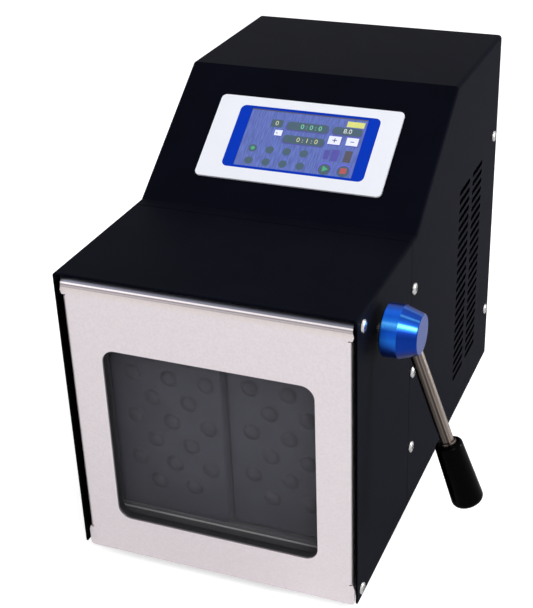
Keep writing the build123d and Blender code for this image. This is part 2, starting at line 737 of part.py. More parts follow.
export_step(strikers.part, "parts/strikers.step")

# Each pivot pin is a shouldered screw: head outside the cover, shank in the door's lug.
with BuildPart() as pivot_pins:
    for sign in (-1, 1):
        with BuildSketch(across(sign * HALF)):
            with Locations((PIVOT_Y, PIVOT_Z)):
                Circle(SCREW_HEAD_R)
        extrude(amount=sign * SCREW_HEAD)
        with BuildSketch(across(sign * HALF)):
            with Locations((PIVOT_Y, PIVOT_Z)):
                Circle(PIVOT_R)
        extrude(amount=-sign * (HALF - DOOR_HALF + 2 * DOOR_T))
        with BuildSketch(across(sign * INNER)):
            with Locations((PIVOT_Y, PIVOT_Z)):
                Circle(PIVOT_R + DOOR_T)
        extrude(amount=-sign * (INNER - DOOR_HALF - APART))
        with BuildSketch(across(sign * (HALF + SCREW_HEAD))):
            with Locations((PIVOT_Y, PIVOT_Z)):
                Rectangle(RECESS_L, RECESS_W)
                Rectangle(RECESS_W, RECESS_L)
        extrude(amount=-sign * RECESS_DEEP, mode=Mode.SUBTRACT)
    head_rims = pivot_pins.faces().filter_by(Axis.X).group_by(lambda f: abs(f.center().X - X0))[-1]
    rims = head_rims.edges().filter_by(GeomType.CIRCLE)
    fillet(rims, SCREW_HEAD * 0.4)
pivot_pins.part.label = "pivot_pins"
export_step(pivot_pins.part, "parts/pivot_pins.step")

# ---------------------------------------------------------------- lever and latch
HUB_BACK = HALF + HUB_GAP
LEVER_END = HUB_BACK + HUB_SOCKET
with BuildPart() as lever_shaft:
    with BuildSketch(across(-INNER)):
        with Locations((LEVER_Y, LEVER_Z)):
            Circle(LEVER_R)
    extrude(amount=INNER + LEVER_END)
lever_shaft.part.label = "lever_shaft"
export_step(lever_shaft.part, "parts/lever_shaft.step")

with BuildPart() as shaft_bushes:
    for sign in (-1, 1):
        with BuildSketch(across(sign * INNER)):
            with Locations((LEVER_Y, LEVER_Z)):
                Circle(BUSH_R)
                Circle(LEVER_R + RUNNING, mode=Mode.SUBTRACT)
        extrude(amount=-sign * BUSH_L)
        with BuildSketch(across(sign * (INNER - PLATE))):
            with Locations((LEVER_Y, LEVER_Z)):
                Circle(BUSH_FLANGE_R)
                Circle(LEVER_R + RUNNING, mode=Mode.SUBTRACT)
        extrude(amount=-sign * BUSH_FLANGE)
shaft_bushes.part.label = "shaft_bushes"
export_step(shaft_bushes.part, "parts/shaft_bushes.step")

with BuildPart() as latch_hooks:
    for x in (-HOOK_X, HOOK_X):
        with BuildSketch(across(x - HOOK_T / 2)):
            with BuildLine():
                inner_r = STRIKER_OUT + STRIKER_R + APART
                ThreePointArc(
                    ray_point(HOOK_FROM, HOOK_R),
                    ray_point((HOOK_FROM + HOOK_TO) / 2, HOOK_R),
                    ray_point(HOOK_TO, HOOK_R),
                )
                Line(ray_point(HOOK_TO, HOOK_R), ray_point(HOOK_TO, 0))
                Line(ray_point(HOOK_TO, 0), ray_point(HOOK_WEB, inner_r))
                ThreePointArc(
                    ray_point(HOOK_WEB, inner_r),
                    ray_point((HOOK_FROM + HOOK_WEB) / 2, inner_r),
                    ray_point(HOOK_FROM, inner_r),
                )
                Line(ray_point(HOOK_FROM, inner_r), ray_point(HOOK_FROM, HOOK_R))
            make_face()
            with Locations((LEVER_Y, LEVER_Z)):
                Circle(HOOK_HUB_R)
                Circle(LEVER_R + SNUG, mode=Mode.SUBTRACT)
        extrude(amount=HOOK_T)
        with BuildSketch(across(x)):
            with Locations((LEVER_Y, LEVER_Z)):
                Circle(HOOK_HUB_R)
                Circle(LEVER_R + SNUG, mode=Mode.SUBTRACT)
        extrude(amount=-3 * HOOK_T if x > 0 else 3 * HOOK_T)
latch_hooks.part.label = "latch_hooks"
export_step(latch_hooks.part, "parts/latch_hooks.step")

arm_from = (X0 + ARM_X, Y0 + LEVER_Y, Z0 + LEVER_Z)
arm_plane = Plane(origin=arm_from, z_dir=ARM_DIR)
with BuildPart() as lever_hub:
    with BuildSketch(facing(LEVER_Y)):
        with BuildLine():
            Polyline(
                (HUB_BACK, LEVER_Z),
                (HUB_BACK + HUB_CYL + HUB_CONE, LEVER_Z),
                (HUB_BACK + HUB_CYL + HUB_CONE, LEVER_Z + HUB_NOSE_R),
                (HUB_BACK + HUB_CYL, LEVER_Z + HUB_R),
                (HUB_BACK, LEVER_Z + HUB_R),
                close=True,
            )
        make_face()
    revolve(axis=Axis((X0 + HALF, Y0 + LEVER_Y, Z0 + LEVER_Z), (1, 0, 0)))
    chamfer(lever_hub.edges().filter_by(GeomType.CIRCLE).sort_by(Axis.X)[0], HUB_EDGE)
    fillet(lever_hub.edges().filter_by(GeomType.CIRCLE).sort_by(Axis.X)[-1], HUB_EDGE)
    with BuildSketch(across(HUB_BACK)):
        with Locations((LEVER_Y, LEVER_Z)):
            Circle(LEVER_R + SNUG)
    extrude(amount=HUB_SOCKET, mode=Mode.SUBTRACT)
    with BuildSketch(arm_plane.offset(ARM_START)):
        Circle(ARM_R + SNUG)
    extrude(amount=HUB_R * 2, mode=Mode.SUBTRACT)
lever_hub.part.label = "lever_hub"
export_step(lever_hub.part, "parts/lever_hub.step")

with BuildPart() as lever_arm:
    with BuildSketch(arm_plane.offset(ARM_START)):
        Circle(ARM_R)
    extrude(amount=GRIP_START + GRIP_BORE - ARM_START)
lever_arm.part.label = "lever_arm"
export_step(lever_arm.part, "parts/lever_arm.step")

with BuildPart() as grip_ferrule:
    with BuildSketch(arm_plane.offset(GRIP_START - FERRULE)):
        Circle(FERRULE_R)
        Circle(ARM_R + SNUG, mode=Mode.SUBTRACT)
    extrude(amount=FERRULE)
grip_ferrule.part.label = "grip_ferrule"
export_step(grip_ferrule.part, "parts/grip_ferrule.step")

with BuildPart() as lever_grip:
    with BuildSketch(arm_plane.offset(GRIP_START)):
        Circle(GRIP_TOP_R)
    with BuildSketch(arm_plane.offset(GRIP_END)):
        Circle(GRIP_FOOT_R)
    loft()
    rings = lever_grip.edges().filter_by(GeomType.CIRCLE).sort_by(Axis.Z)
    fillet(rings[-1], GRIP_TOP_ROUND)
    rings = lever_grip.edges().filter_by(GeomType.CIRCLE).sort_by(Axis.Z)
    fillet(rings[0], GRIP_FOOT_ROUND)
    with BuildSketch(arm_plane.offset(GRIP_START)):
        Circle(ARM_R + SNUG)
    extrude(amount=GRIP_BORE + SNUG, mode=Mode.SUBTRACT)
lever_grip.part.label = "lever_grip"
export_step(lever_grip.part, "parts/lever_grip.step")

# ---------------------------------------------------------------- paddles and their drive
# The crank's travel is shared out evenly over half a turn, so a yoke lags or leads its roller
# by a little, and the slot's play takes that up.
TRAVEL_PER_RADIAN = 0.72 * ECCENTRIC
CRANK_REST = PADDLE_STAGGER / 2 / TRAVEL_PER_RADIAN
YOKE_HALF_SLOT = ROLLER_R + YOKE_PLAY
YOKE_HALF_H = ROLLER_R + ECCENTRIC + YOKE_PLAY
for side, sign in (("left", -1), ("right", 1)):
    face_y = PADDLE_MID_Y + sign * PADDLE_STAGGER / 2
    yoke_y = CRANK_Y + sign * PADDLE_STAGGER / 2
    inner = PADDLE_SPLIT + sign * PADDLE_GAP / 2
    outer = sign * PADDLE_OUT
    with BuildPart() as paddle:
        with BuildSketch(facing(face_y)):
            with Locations(((inner + outer) / 2, (PADDLE_FOOT + PADDLE_TOP) / 2)):
                RectangleRounded(abs(outer - inner), PADDLE_TOP - PADDLE_FOOT, PADDLE_R)
        extrude(amount=-PADDLE_T)
        rim = paddle.faces().sort_by(Axis.Y)[0].edges()
        fillet(rim, 1.0)
        ball = (DOME_R**2 + DOME_H**2) / (2 * DOME_H)
        with BuildPart(mode=Mode.PRIVATE) as dome:
            with BuildSketch(Plane.XY):
                with BuildLine():
                    Line((0, 0), (DOME_R, 0))
                    RadiusArc((DOME_R, 0), (0, DOME_H), -ball)
                    Line((0, DOME_H), (0, 0))
                make_face()
            revolve(axis=Axis.Y)
        for row in range(DOME_ROWS):
            stagger = row % 2 == 0
            count = 2 if stagger else 3
            for column in range(count):
                x = inner + sign * (DOME_FIRST_X[side] + (column + stagger / 2) * DOME_PITCH_X)
                z = DOME_FIRST_Z + row * DOME_PITCH_Z
                seat = Plane(
                    origin=(X0 + x, Y0 + face_y, Z0 + z), x_dir=(1, 0, 0), z_dir=(0, 0, -1)
                )
                add(seat * dome.part)
    paddle.part.label = f"paddle_{side}"
    export_step(paddle.part, f"parts/paddle_{side}.step")

    with BuildPart() as push_rod:
        with BuildSketch(facing(face_y + PADDLE_T)):
            with Locations((sign * PADDLE_X, ROD_Z)):
                Circle(ROD_R)
        extrude(amount=-(yoke_y - YOKE_HALF_SLOT - YOKE_WALL - face_y - PADDLE_T))
    push_rod.part.label = f"push_rod_{side}"
    export_step(push_rod.part, f"parts/push_rod_{side}.step")

    with BuildPart() as yoke:
        with BuildSketch(across(sign * PADDLE_X - YOKE_T / 2)):
            with Locations((yoke_y, ROD_Z)):
                RectangleRounded(2 * (YOKE_HALF_SLOT + YOKE_WALL), 2 * (YOKE_HALF_H + YOKE_WALL), PADDLE_R)
                Rectangle(2 * YOKE_HALF_SLOT, 2 * YOKE_HALF_H, mode=Mode.SUBTRACT)
        extrude(amount=YOKE_T)
    yoke.part.label = f"yoke_{side}"
    export_step(yoke.part, f"parts/yoke_{side}.step")

with BuildPart() as crankshaft:
    with BuildSketch(across(-CRANK_LEFT)):
        with Locations((CRANK_Y, ROD_Z)):
            Circle(CRANK_R)
    extrude(amount=CRANK_LEFT + CRANK_RIGHT)
crankshaft.part.label = "crankshaft"
export_step(crankshaft.part, "parts/crankshaft.step")

with BuildPart() as eccentric_discs:
    for sign in (-1, 1):
        with BuildSketch(across(sign * PADDLE_X - YOKE_T / 2)):
            with Locations(
                (
                    CRANK_Y + sign * ECCENTRIC * sin(CRANK_REST),
                    ROD_Z - sign * ECCENTRIC * cos(CRANK_REST),
                )
            ):
                Circle(DISC_R)
            with Locations((CRANK_Y, ROD_Z)):
                Circle(CRANK_R + SNUG, mode=Mode.SUBTRACT)
        extrude(amount=YOKE_T)
eccentric_discs.part.label = "eccentric_discs"
export_step(eccentric_discs.part, "parts/eccentric_discs.step")

with BuildPart() as yoke_rollers:
    for sign in (-1, 1):
        with BuildSketch(across(sign * PADDLE_X - YOKE_T / 2)):
            with Locations(
                (
                    CRANK_Y + sign * ECCENTRIC * sin(CRANK_REST),
                    ROD_Z - sign * ECCENTRIC * cos(CRANK_REST),
                )
            ):
                Circle(ROLLER_R)
                Circle(DISC_R + SNUG, mode=Mode.SUBTRACT)
        extrude(amount=YOKE_T)
yoke_rollers.part.label = "yoke_rollers"
export_step(yoke_rollers.part, "parts/yoke_rollers.step")

with BuildPart() as crank_pulley:
    with BuildSketch(across(PULLEY_X - PULLEY_W / 2)):
        with Locations((CRANK_Y, ROD_Z)):
            Circle(BIG_PULLEY_R)
            with PolarLocations(BIG_PULLEY_R * 0.6, 6):
                Circle(BIG_PULLEY_R * 0.16, mode=Mode.SUBTRACT)
            Circle(CRANK_R + SNUG, mode=Mode.SUBTRACT)
    extrude(amount=PULLEY_W)
crank_pulley.part.label = "crank_pulley"
export_step(crank_pulley.part, "parts/crank_pulley.step")

with BuildPart() as crank_bearings:
    for sign in (-1, 1):
        with BuildSketch(across(sign * BEARING_X - BEARING_T / 2 + 1)):
            with Locations((CRANK_Y, ROD_Z)):
                Circle(BEARING_R)
                Circle(CRANK_R + RUNNING, mode=Mode.SUBTRACT)
        extrude(amount=BEARING_T - 2)
crank_bearings.part.label = "crank_bearings"
export_step(crank_bearings.part, "parts/crank_bearings.step")

with BuildPart() as bearing_pillars:
    for sign in (-1, 1):
        with BuildSketch(across(sign * BEARING_X - BEARING_T / 2)):
            with BuildLine():
                Polyline(
                    (CRANK_Y - PILLAR_FOOT / 2, PLATE),
                    (CRANK_Y + PILLAR_FOOT / 2, PLATE),
                    (CRANK_Y + PILLAR_FOOT / 2, PLATE + BEARING_T),
                    (CRANK_Y + PILLAR_W / 2, PLATE + 2 * BEARING_T),
                    (CRANK_Y + PILLAR_W / 2, ROD_Z),
                    (CRANK_Y - PILLAR_W / 2, ROD_Z),
                    (CRANK_Y - PILLAR_W / 2, PLATE + 2 * BEARING_T),
                    (CRANK_Y - PILLAR_FOOT / 2, PLATE + BEARING_T),
                    close=True,
                )
            make_face()
            with Locations((CRANK_Y, ROD_Z)):
                Circle(PILLAR_W / 2)
                Circle(BEARING_R + SNUG, mode=Mode.SUBTRACT)
        extrude(amount=BEARING_T)
bearing_pillars.part.label = "bearing_pillars"
export_step(bearing_pillars.part, "parts/bearing_pillars.step")

with BuildPart() as drive_motor:
    with BuildSketch(across(MOTOR_FACE)):
        with Locations((MOTOR_Y, MOTOR_Z)):
            Circle(MOTOR_R)
    extrude(amount=-MOTOR_L)
    fillet(drive_motor.edges().filter_by(GeomType.CIRCLE).sort_by(Axis.X)[0], 2)
    with BuildSketch(across(MOTOR_FACE)):
        with Locations((MOTOR_Y, MOTOR_Z)):
            Circle(BEARING_R)
    extrude(amount=MOTOR_PLATE)
drive_motor.part.label = "drive_motor"
export_step(drive_motor.part, "parts/drive_motor.step")

with BuildPart() as motor_bracket:
    with BuildSketch(across(MOTOR_FACE)):
        with Locations((MOTOR_Y, PLATE)):
            Rectangle(2 * MOTOR_R, MOTOR_Z + MOTOR_R * 0.7 - PLATE, align=(Align.CENTER, Align.MIN))
        with Locations((MOTOR_Y, MOTOR_Z)):
            Circle(BEARING_R + SNUG, mode=Mode.SUBTRACT)
    extrude(amount=MOTOR_PLATE)
    with BuildSketch(level(PLATE)):
        with Locations((MOTOR_FACE, MOTOR_Y)):
            Rectangle(MOTOR_L * 0.7, 2 * MOTOR_R, align=(Align.MAX, Align.CENTER))
    extrude(amount=MOTOR_PLATE)
motor_bracket.part.label = "motor_bracket"
export_step(motor_bracket.part, "parts/motor_bracket.step")

with BuildPart() as motor_pulley:
    with BuildSketch(across(PULLEY_X - PULLEY_W / 2)):
        with Locations((MOTOR_Y, MOTOR_Z)):
            Circle(SMALL_PULLEY_R)
    extrude(amount=PULLEY_W)
    with BuildSketch(across(MOTOR_FACE + MOTOR_PLATE + APART)):
        with Locations((MOTOR_Y, MOTOR_Z)):
            Circle(MOTOR_SHAFT_R)
    extrude(amount=PULLEY_X - MOTOR_FACE - MOTOR_PLATE - APART)
motor_pulley.part.label = "motor_pulley"
export_step(motor_pulley.part, "parts/motor_pulley.step")


def belt_outline(grow):
    """The loop around both pulleys, standing off them by the given amount."""
    with BuildSketch(across(PULLEY_X - BELT_W / 2), mode=Mode.PRIVATE) as outline:
        with Locations((CRANK_Y, ROD_Z)):
            Circle(BIG_PULLEY_R + grow)
        with Locations((MOTOR_Y, MOTOR_Z)):
            Circle(SMALL_PULLEY_R + grow)
        make_hull()
    return outline.sketch


with BuildPart() as drive_belt:
    extrude(belt_outline(APART + BELT_T), amount=BELT_W)
    extrude(belt_outline(APART), amount=BELT_W, mode=Mode.SUBTRACT)
drive_belt.part.label = "drive_belt"
export_step(drive_belt.part, "parts/drive_belt.step")

# ---------------------------------------------------------------- display
with BuildPart() as display_bezel:
    with BuildSketch(on_slope(0)):
        with Locations((BEZEL_X, BEZEL_V)):
            RectangleRounded(BEZEL_W, BEZEL_H, BEZEL_R)
        with Locations((SURROUND_X, SURROUND_V)):
            RectangleRounded(SURROUND_W + 2 * SNUG, SURROUND_H + 2 * SNUG, SURROUND_R, mode=Mode.SUBTRACT)
    extrude(amount=BEZEL_T)
display_bezel.part.label = "display_bezel"
export_step(display_bezel.part, "parts/display_bezel.step")

with BuildPart() as screen_surround:
    with BuildSketch(on_slope(0)):
        with Locations((SURROUND_X, SURROUND_V)):
            RectangleRounded(SURROUND_W, SURROUND_H, SURROUND_R)
        with Locations((SCREEN_X, SCREEN_V)):
            Rectangle(SCREEN_W + 2 * SNUG, SCREEN_H + 2 * SNUG, mode=Mode.SUBTRACT)
    extrude(amount=BEZEL_T)
screen_surround.part.label = "screen_surround"
export_step(screen_surround.part, "parts/screen_surround.step")

with BuildPart() as touch_screen:
    with BuildSketch(on_slope(0)):
        with Locations((SCREEN_X, SCREEN_V)):
            Rectangle(SCREEN_W, SCREEN_H)
    extrude(amount=BEZEL_T - SCREEN_SINK)
touch_screen.part.label = "touch_screen"
export_step(touch_screen.part, "parts/touch_screen.step")

with BuildPart() as display_module:
    with BuildSketch(on_slope(0)):
        with Locations((SCREEN_X, SCREEN_V)):
            Rectangle(SCREEN_W + 2 * MODULE_RIM, SCREEN_H + 2 * MODULE_RIM)
    extrude(amount=-MODULE_T)
display_module.part.label = "display_module"
export_step(display_module.part, "parts/display_module.step")

STANDOFF_PITCH_X = BOARD_W - 2 * STANDOFF_INSET
STANDOFF_PITCH_Y = BOARD_H - 2 * STANDOFF_INSET
with BuildPart() as control_board:
    with BuildSketch(on_slope(-BOARD_DEEP)):
        with Locations((BEZEL_X, BEZEL_V)):
            Rectangle(BOARD_W, BOARD_H)
    extrude(amount=-BOARD_T)
    with BuildSketch(on_slope(-BOARD_DEEP - BOARD_T)):
        with Locations((BEZEL_X - BOARD_W / 5, BEZEL_V), (BEZEL_X + BOARD_W / 5, BEZEL_V)):
            Rectangle(BOARD_W / 6, BOARD_H / 3)
    extrude(amount=-2 * BOARD_T)
control_board.part.label = "control_board"
export_step(control_board.part, "parts/control_board.step")

with BuildPart() as board_standoffs:
    with BuildSketch(on_slope(0)):
        with Locations((BEZEL_X, BEZEL_V)):
            with GridLocations(STANDOFF_PITCH_X, STANDOFF_PITCH_Y, 2, 2):
                Circle(STANDOFF_R)
    extrude(amount=-BOARD_DEEP)
board_standoffs.part.label = "board_standoffs"
export_step(board_standoffs.part, "parts/board_standoffs.step")

# ---------------------------------------------------------------- rear panel fittings
with BuildPart() as fan_frame:
    with BuildSketch(facing(PANEL_Y)):
        with Locations((FAN_X, FAN_Z)):
            RectangleRounded(FAN_SIZE, FAN_SIZE, FAN_CORNER)
            Circle(FAN_BORE_R, mode=Mode.SUBTRACT)
            with GridLocations(FAN_PITCH, FAN_PITCH, 2, 2):
                Circle(FAN_SCREW_R + HOLE_SLACK, mode=Mode.SUBTRACT)
    extrude(amount=FAN_T)
    with BuildSketch(facing(PANEL_Y - FAN_T)):
        with Locations((FAN_X, FAN_Z)):
            Circle(FAN_HUB_R)
            with PolarLocations(0, 4, start_angle=45):
                Rectangle(FAN_BORE_R + 1, FAN_SPIDER_W, align=(Align.MIN, Align.CENTER))
    extrude(amount=-FAN_SPIDER)
    with BuildSketch(facing(PANEL_Y - FAN_T + FAN_SPIDER)):
        with Locations((FAN_X, FAN_Z)):
            Circle(FAN_PIN_R)
    extrude(amount=-FAN_T / 2)
fan_frame.part.label = "fan_frame"
export_step(fan_frame.part, "parts/fan_frame.step")

BLADE_REACH = FAN_BORE_R - FAN_TIP_GAP
BLADE_ROOT = 2.0
BLADE_CHORD = 16.0
BLADE_T = 1.6
ROTOR_BACK = PANEL_Y - ROTOR_GAP
ROTOR_L = FAN_T - 2 * ROTOR_GAP
with BuildPart() as fan_rotor:
    with BuildSketch(facing(ROTOR_BACK)):
        with Locations((FAN_X, FAN_Z)):
            Circle(FAN_HUB_R)
    extrude(amount=ROTOR_L)
    with BuildSketch(facing(ROTOR_BACK - ROTOR_L)):
        with Locations((FAN_X, FAN_Z)):
            Circle(FAN_PIN_R + RUNNING)
    extrude(amount=-ROTOR_L * 0.8, mode=Mode.SUBTRACT)
    for blade in range(FAN_BLADES):
        turn = 2 * pi * blade / FAN_BLADES
        out = Vector(cos(turn), 0, sin(turn))
        middle = Vector(X0 + FAN_X, Y0 + ROTOR_BACK - ROTOR_L / 2, Z0 + FAN_Z)
        blade_root = Plane(
            origin=middle + out * (FAN_HUB_R - BLADE_ROOT), x_dir=(-sin(turn), 0, cos(turn)), z_dir=out
        )
        with BuildSketch(blade_root):
            Rectangle(BLADE_CHORD, BLADE_T, rotation=35)
        with BuildSketch(blade_root.offset(BLADE_REACH - FAN_HUB_R)):
            Rectangle(BLADE_CHORD, BLADE_T, rotation=25)
        loft()
fan_rotor.part.label = "fan_rotor"
export_step(fan_rotor.part, "parts/fan_rotor.step")

GUARD_STEP = (FAN_BORE_R - GUARD_WIRE) / GUARD_RINGS
with BuildPart() as fan_guard:
    with BuildSketch(facing(PANEL_OUT)):
        with Locations((FAN_X, FAN_Z)):
            for ring in range(GUARD_RINGS):
                outer = FAN_BORE_R + GUARD_WIRE - ring * GUARD_STEP
                Circle(outer)
                Circle(outer - GUARD_WIRE, mode=Mode.SUBTRACT)
            with PolarLocations(0, 4, start_angle=45):
                Rectangle(
                    FAN_PITCH / sqrt(2) + 3, GUARD_WIRE, align=(Align.MIN, Align.CENTER)
                )
            with GridLocations(FAN_PITCH, FAN_PITCH, 2, 2):
                Circle(SCREW_HEAD_R)
                Circle(FAN_SCREW_R + HOLE_SLACK, mode=Mode.SUBTRACT)
    extrude(amount=-GUARD_WIRE)
fan_guard.part.label = "fan_guard"
export_step(fan_guard.part, "parts/fan_guard.step")

with BuildPart() as power_inlet:
    with BuildSketch(facing(PANEL_OUT)):
        with Locations((INLET_X, SERVICE_Z)):
            Rectangle(INLET_FLANGE_W, INLET_FLANGE_H)
            Rectangle(INLET_SOCKET_W, INLET_SOCKET_H, mode=Mode.SUBTRACT)
    extrude(amount=-INLET_FACE)
    with BuildSketch(facing(PANEL_OUT)):
        with Locations((INLET_X, SERVICE_Z)):
            Rectangle(INLET_W, INLET_H)
            Rectangle(INLET_SOCKET_W, INLET_SOCKET_H, mode=Mode.SUBTRACT)
    extrude(amount=INLET_DEEP - INLET_FACE)
    with BuildSketch(facing(PANEL_OUT - INLET_DEEP + INLET_FACE)):
        with Locations((INLET_X, SERVICE_Z)):
            Rectangle(INLET_W, INLET_H)
    extrude(amount=INLET_BACK - INLET_DEEP)
    with BuildSketch(facing(PANEL_OUT - INLET_DEEP + INLET_FACE)):
        with Locations((INLET_X, SERVICE_Z)):
            with Locations((-PIN_SPREAD, -PIN_RISE), (PIN_SPREAD, -PIN_RISE), (0, PIN_RISE)):
                Rectangle(PIN_T, PIN_W)
    extrude(amount=-PIN_L)
power_inlet.part.label = "power_inlet"
export_step(power_inlet.part, "parts/power_inlet.step")

with BuildPart() as fuse_holder:
    with BuildSketch(facing(PANEL_OUT)):
        with Locations((FUSE_X, SERVICE_Z)):
            Circle(FUSE_CAP_R)
    extrude(amount=-FUSE_CAP)
    fillet(fuse_holder.edges().sort_by(Axis.Y)[-1], 0.8)
    with BuildSketch(facing(PANEL_OUT)):
        with Locations((FUSE_X, SERVICE_Z)):
            Circle(FUSE_R)
    extrude(amount=FUSE_L)
    with BuildSketch(facing(PANEL_OUT + FUSE_CAP)):
        with Locations((FUSE_X, SERVICE_Z)):
            Rectangle(2 * FUSE_R * 0.8, RECESS_DEEP)
    extrude(amount=RECESS_DEEP, mode=Mode.SUBTRACT)
fuse_holder.part.label = "fuse_holder"
export_step(fuse_holder.part, "parts/fuse_holder.step")

ROCKER_Y = PANEL_OUT + SWITCH_FLANGE - ROCKER_DEEP
ROCKER_WELL = ROCKER_H + 2 * ROCKER_HEEL
with BuildPart() as switch_housing:
    with BuildSketch(facing(PANEL_OUT)):
        with Locations((SWITCH_X, SERVICE_Z)):
            RectangleRounded(SWITCH_W + 2 * SWITCH_LAP, SWITCH_H + 2 * SWITCH_LAP, SWITCH_LAP)
            Rectangle(ROCKER_W + 2 * APART, ROCKER_WELL, mode=Mode.SUBTRACT)
    extrude(amount=-SWITCH_FLANGE)
    with BuildSketch(facing(PANEL_OUT)):
        with Locations((SWITCH_X, SERVICE_Z)):
            Rectangle(SWITCH_W, SWITCH_H)
            Rectangle(ROCKER_W + 2 * APART, ROCKER_WELL, mode=Mode.SUBTRACT)
    extrude(amount=SWITCH_BACK - SWITCH_FLOOR)
    with BuildSketch(facing(PANEL_OUT - SWITCH_BACK + SWITCH_FLOOR)):
        with Locations((SWITCH_X, SERVICE_Z)):
            Rectangle(SWITCH_W, SWITCH_H)
    extrude(amount=SWITCH_FLOOR)
    with BuildSketch(across(SWITCH_X - ROCKER_W / 2 - APART)):
        with Locations((ROCKER_Y, SERVICE_Z)):
            Circle(ROCKER_PIN_R)
    extrude(amount=ROCKER_W + 2 * APART)
switch_housing.part.label = "switch_housing"
export_step(switch_housing.part, "parts/switch_housing.step")

with BuildPart() as switch_rocker:
    with BuildSketch(across(SWITCH_X - ROCKER_W / 2)):
        with BuildLine():
            # the lower half is pressed in and the upper half stands out, as when switched off
            Polyline(
                (ROCKER_Y - ROCKER_TIP, SERVICE_Z - ROCKER_H / 2 + ROCKER_HEEL),
                (ROCKER_Y + ROCKER_DEEP - SWITCH_FLANGE, SERVICE_Z - ROCKER_H / 2),
                (ROCKER_Y + ROCKER_DEEP, SERVICE_Z),
                (ROCKER_Y + ROCKER_DEEP + ROCKER_PROUD, SERVICE_Z + (ROCKER_H - ROCKER_HEEL) / 2),
                (ROCKER_Y - ROCKER_HEEL, SERVICE_Z + ROCKER_H / 2),
                (ROCKER_Y - ROCKER_DEEP, SERVICE_Z),
                close=True,
            )
        make_face()
        with Locations((ROCKER_Y, SERVICE_Z)):
            Circle(ROCKER_PIN_R + RUNNING, mode=Mode.SUBTRACT)
    extrude(amount=ROCKER_W)
switch_rocker.part.label = "switch_rocker"
export_step(switch_rocker.part, "parts/switch_rocker.step")

with BuildPart() as power_supply:
    with BuildSketch(level(PLATE)):
        with Locations((SUPPLY_X, SUPPLY_Y)):
            Rectangle(SUPPLY_W, SUPPLY_DEPTH)
    extrude(amount=SUPPLY_H)
    with BuildSketch(level(PLATE + SUPPLY_H)):
        with Locations((SUPPLY_X, SUPPLY_Y)):
            with GridLocations(SUPPLY_W / 6, SUPPLY_DEPTH / 12, 5, 8):
                Circle(SUPPLY_VENT_R)
    extrude(amount=-SUPPLY_VENT, mode=Mode.SUBTRACT)
power_supply.part.label = "power_supply"
export_step(power_supply.part, "parts/power_supply.step")

# ---------------------------------------------------------------- feet and fasteners
FOOT_SPOTS = [(s * (HALF - FOOT_INSET), y) for s in (-1, 1) for y in (FOOT_FRONT, FOOT_BACK)]
with BuildPart() as feet:
    with BuildSketch(level(0)):
        with Locations(*FOOT_SPOTS):
            Circle(FOOT_R)
    extrude(amount=-FOOT_H, taper=degrees(atan2(FOOT_TAPER, FOOT_H)))
    with BuildSketch(level(-FOOT_H)):
        with Locations(*FOOT_SPOTS):
            Circle(FOOT_WELL_R)
    extrude(amount=FOOT_WELL, mode=Mode.SUBTRACT)
    with BuildSketch(level(0)):
        with Locations(*FOOT_SPOTS):
            Circle(SCREW_R + SNUG)
    extrude(amount=-FOOT_H, mode=Mode.SUBTRACT)
feet.part.label = "feet"
export_step(feet.part, "parts/feet.step")

with BuildPart() as foot_screws:
    with BuildSketch(level(-FOOT_H + FOOT_WELL)):
        with Locations(*FOOT_SPOTS):
            Circle(SCREW_HEAD_R)
    extrude(amount=-SCREW_HEAD)
    with BuildSketch(level(-FOOT_H + FOOT_WELL)):
        with Locations(*FOOT_SPOTS):
            Circle(SCREW_R)
    extrude(amount=FOOT_H - FOOT_WELL + PLATE + SCREW_REACH)
    with BuildSketch(level(PLATE)):
        with Locations(*FOOT_SPOTS):
            RegularPolygon(SCREW_HEAD_R, 6)
    extrude(amount=SCREW_HEAD)
foot_screws.part.label = "foot_screws"
export_step(foot_screws.part, "parts/foot_screws.step")

side_screw_spots = [FRONT_SCREW]
side_screw_spots += [(SEAM_SCREW_Y, z) for z in SEAM_SCREW_Z]
side_screw_spots += [(REAR_SCREW_Y, z) for z in REAR_SCREW_Z]
with BuildPart() as cover_screws:
    for y, z in side_screw_spots:
        for sign in (-1, 1):
            spot = Plane(
                origin=(X0 + sign * HALF, Y0 + y, Z0 + z), x_dir=(0, 1, 0), z_dir=(sign, 0, 0)
            )
            add(spot * screw.part)
cover_screws.part.label = "cover_screws"
export_step(cover_screws.part, "parts/cover_screws.step")

with BuildPart() as guard_screws:
    for dx in (-FAN_PITCH / 2, FAN_PITCH / 2):
        for dz in (-FAN_PITCH / 2, FAN_PITCH / 2):
            spot = Plane(
                origin=(X0 + FAN_X + dx, Y0 + PANEL_OUT + GUARD_WIRE, Z0 + FAN_Z + dz),
                x_dir=(1, 0, 0),
                z_dir=(0, 1, 0),
            )
            add(spot * screw.part)
guard_screws.part.label = "guard_screws"
export_step(guard_screws.part, "parts/guard_screws.step")
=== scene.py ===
# %% [markdown]
# # A bench-top paddle blender
# The machine kneads a sample bag behind a glazed steel door. Its solids come from CAD in metres, so every
# Blender piece is placed straight from them. Most CAD nodes keep their shape here and get a finish. The
# pieces that are seen from near are made again with finer forms, and get their finish when they are made.

from math import atan2, cos, pi, radians, sin

import bmesh
import bpy
from mathutils import Euler, Matrix, Vector


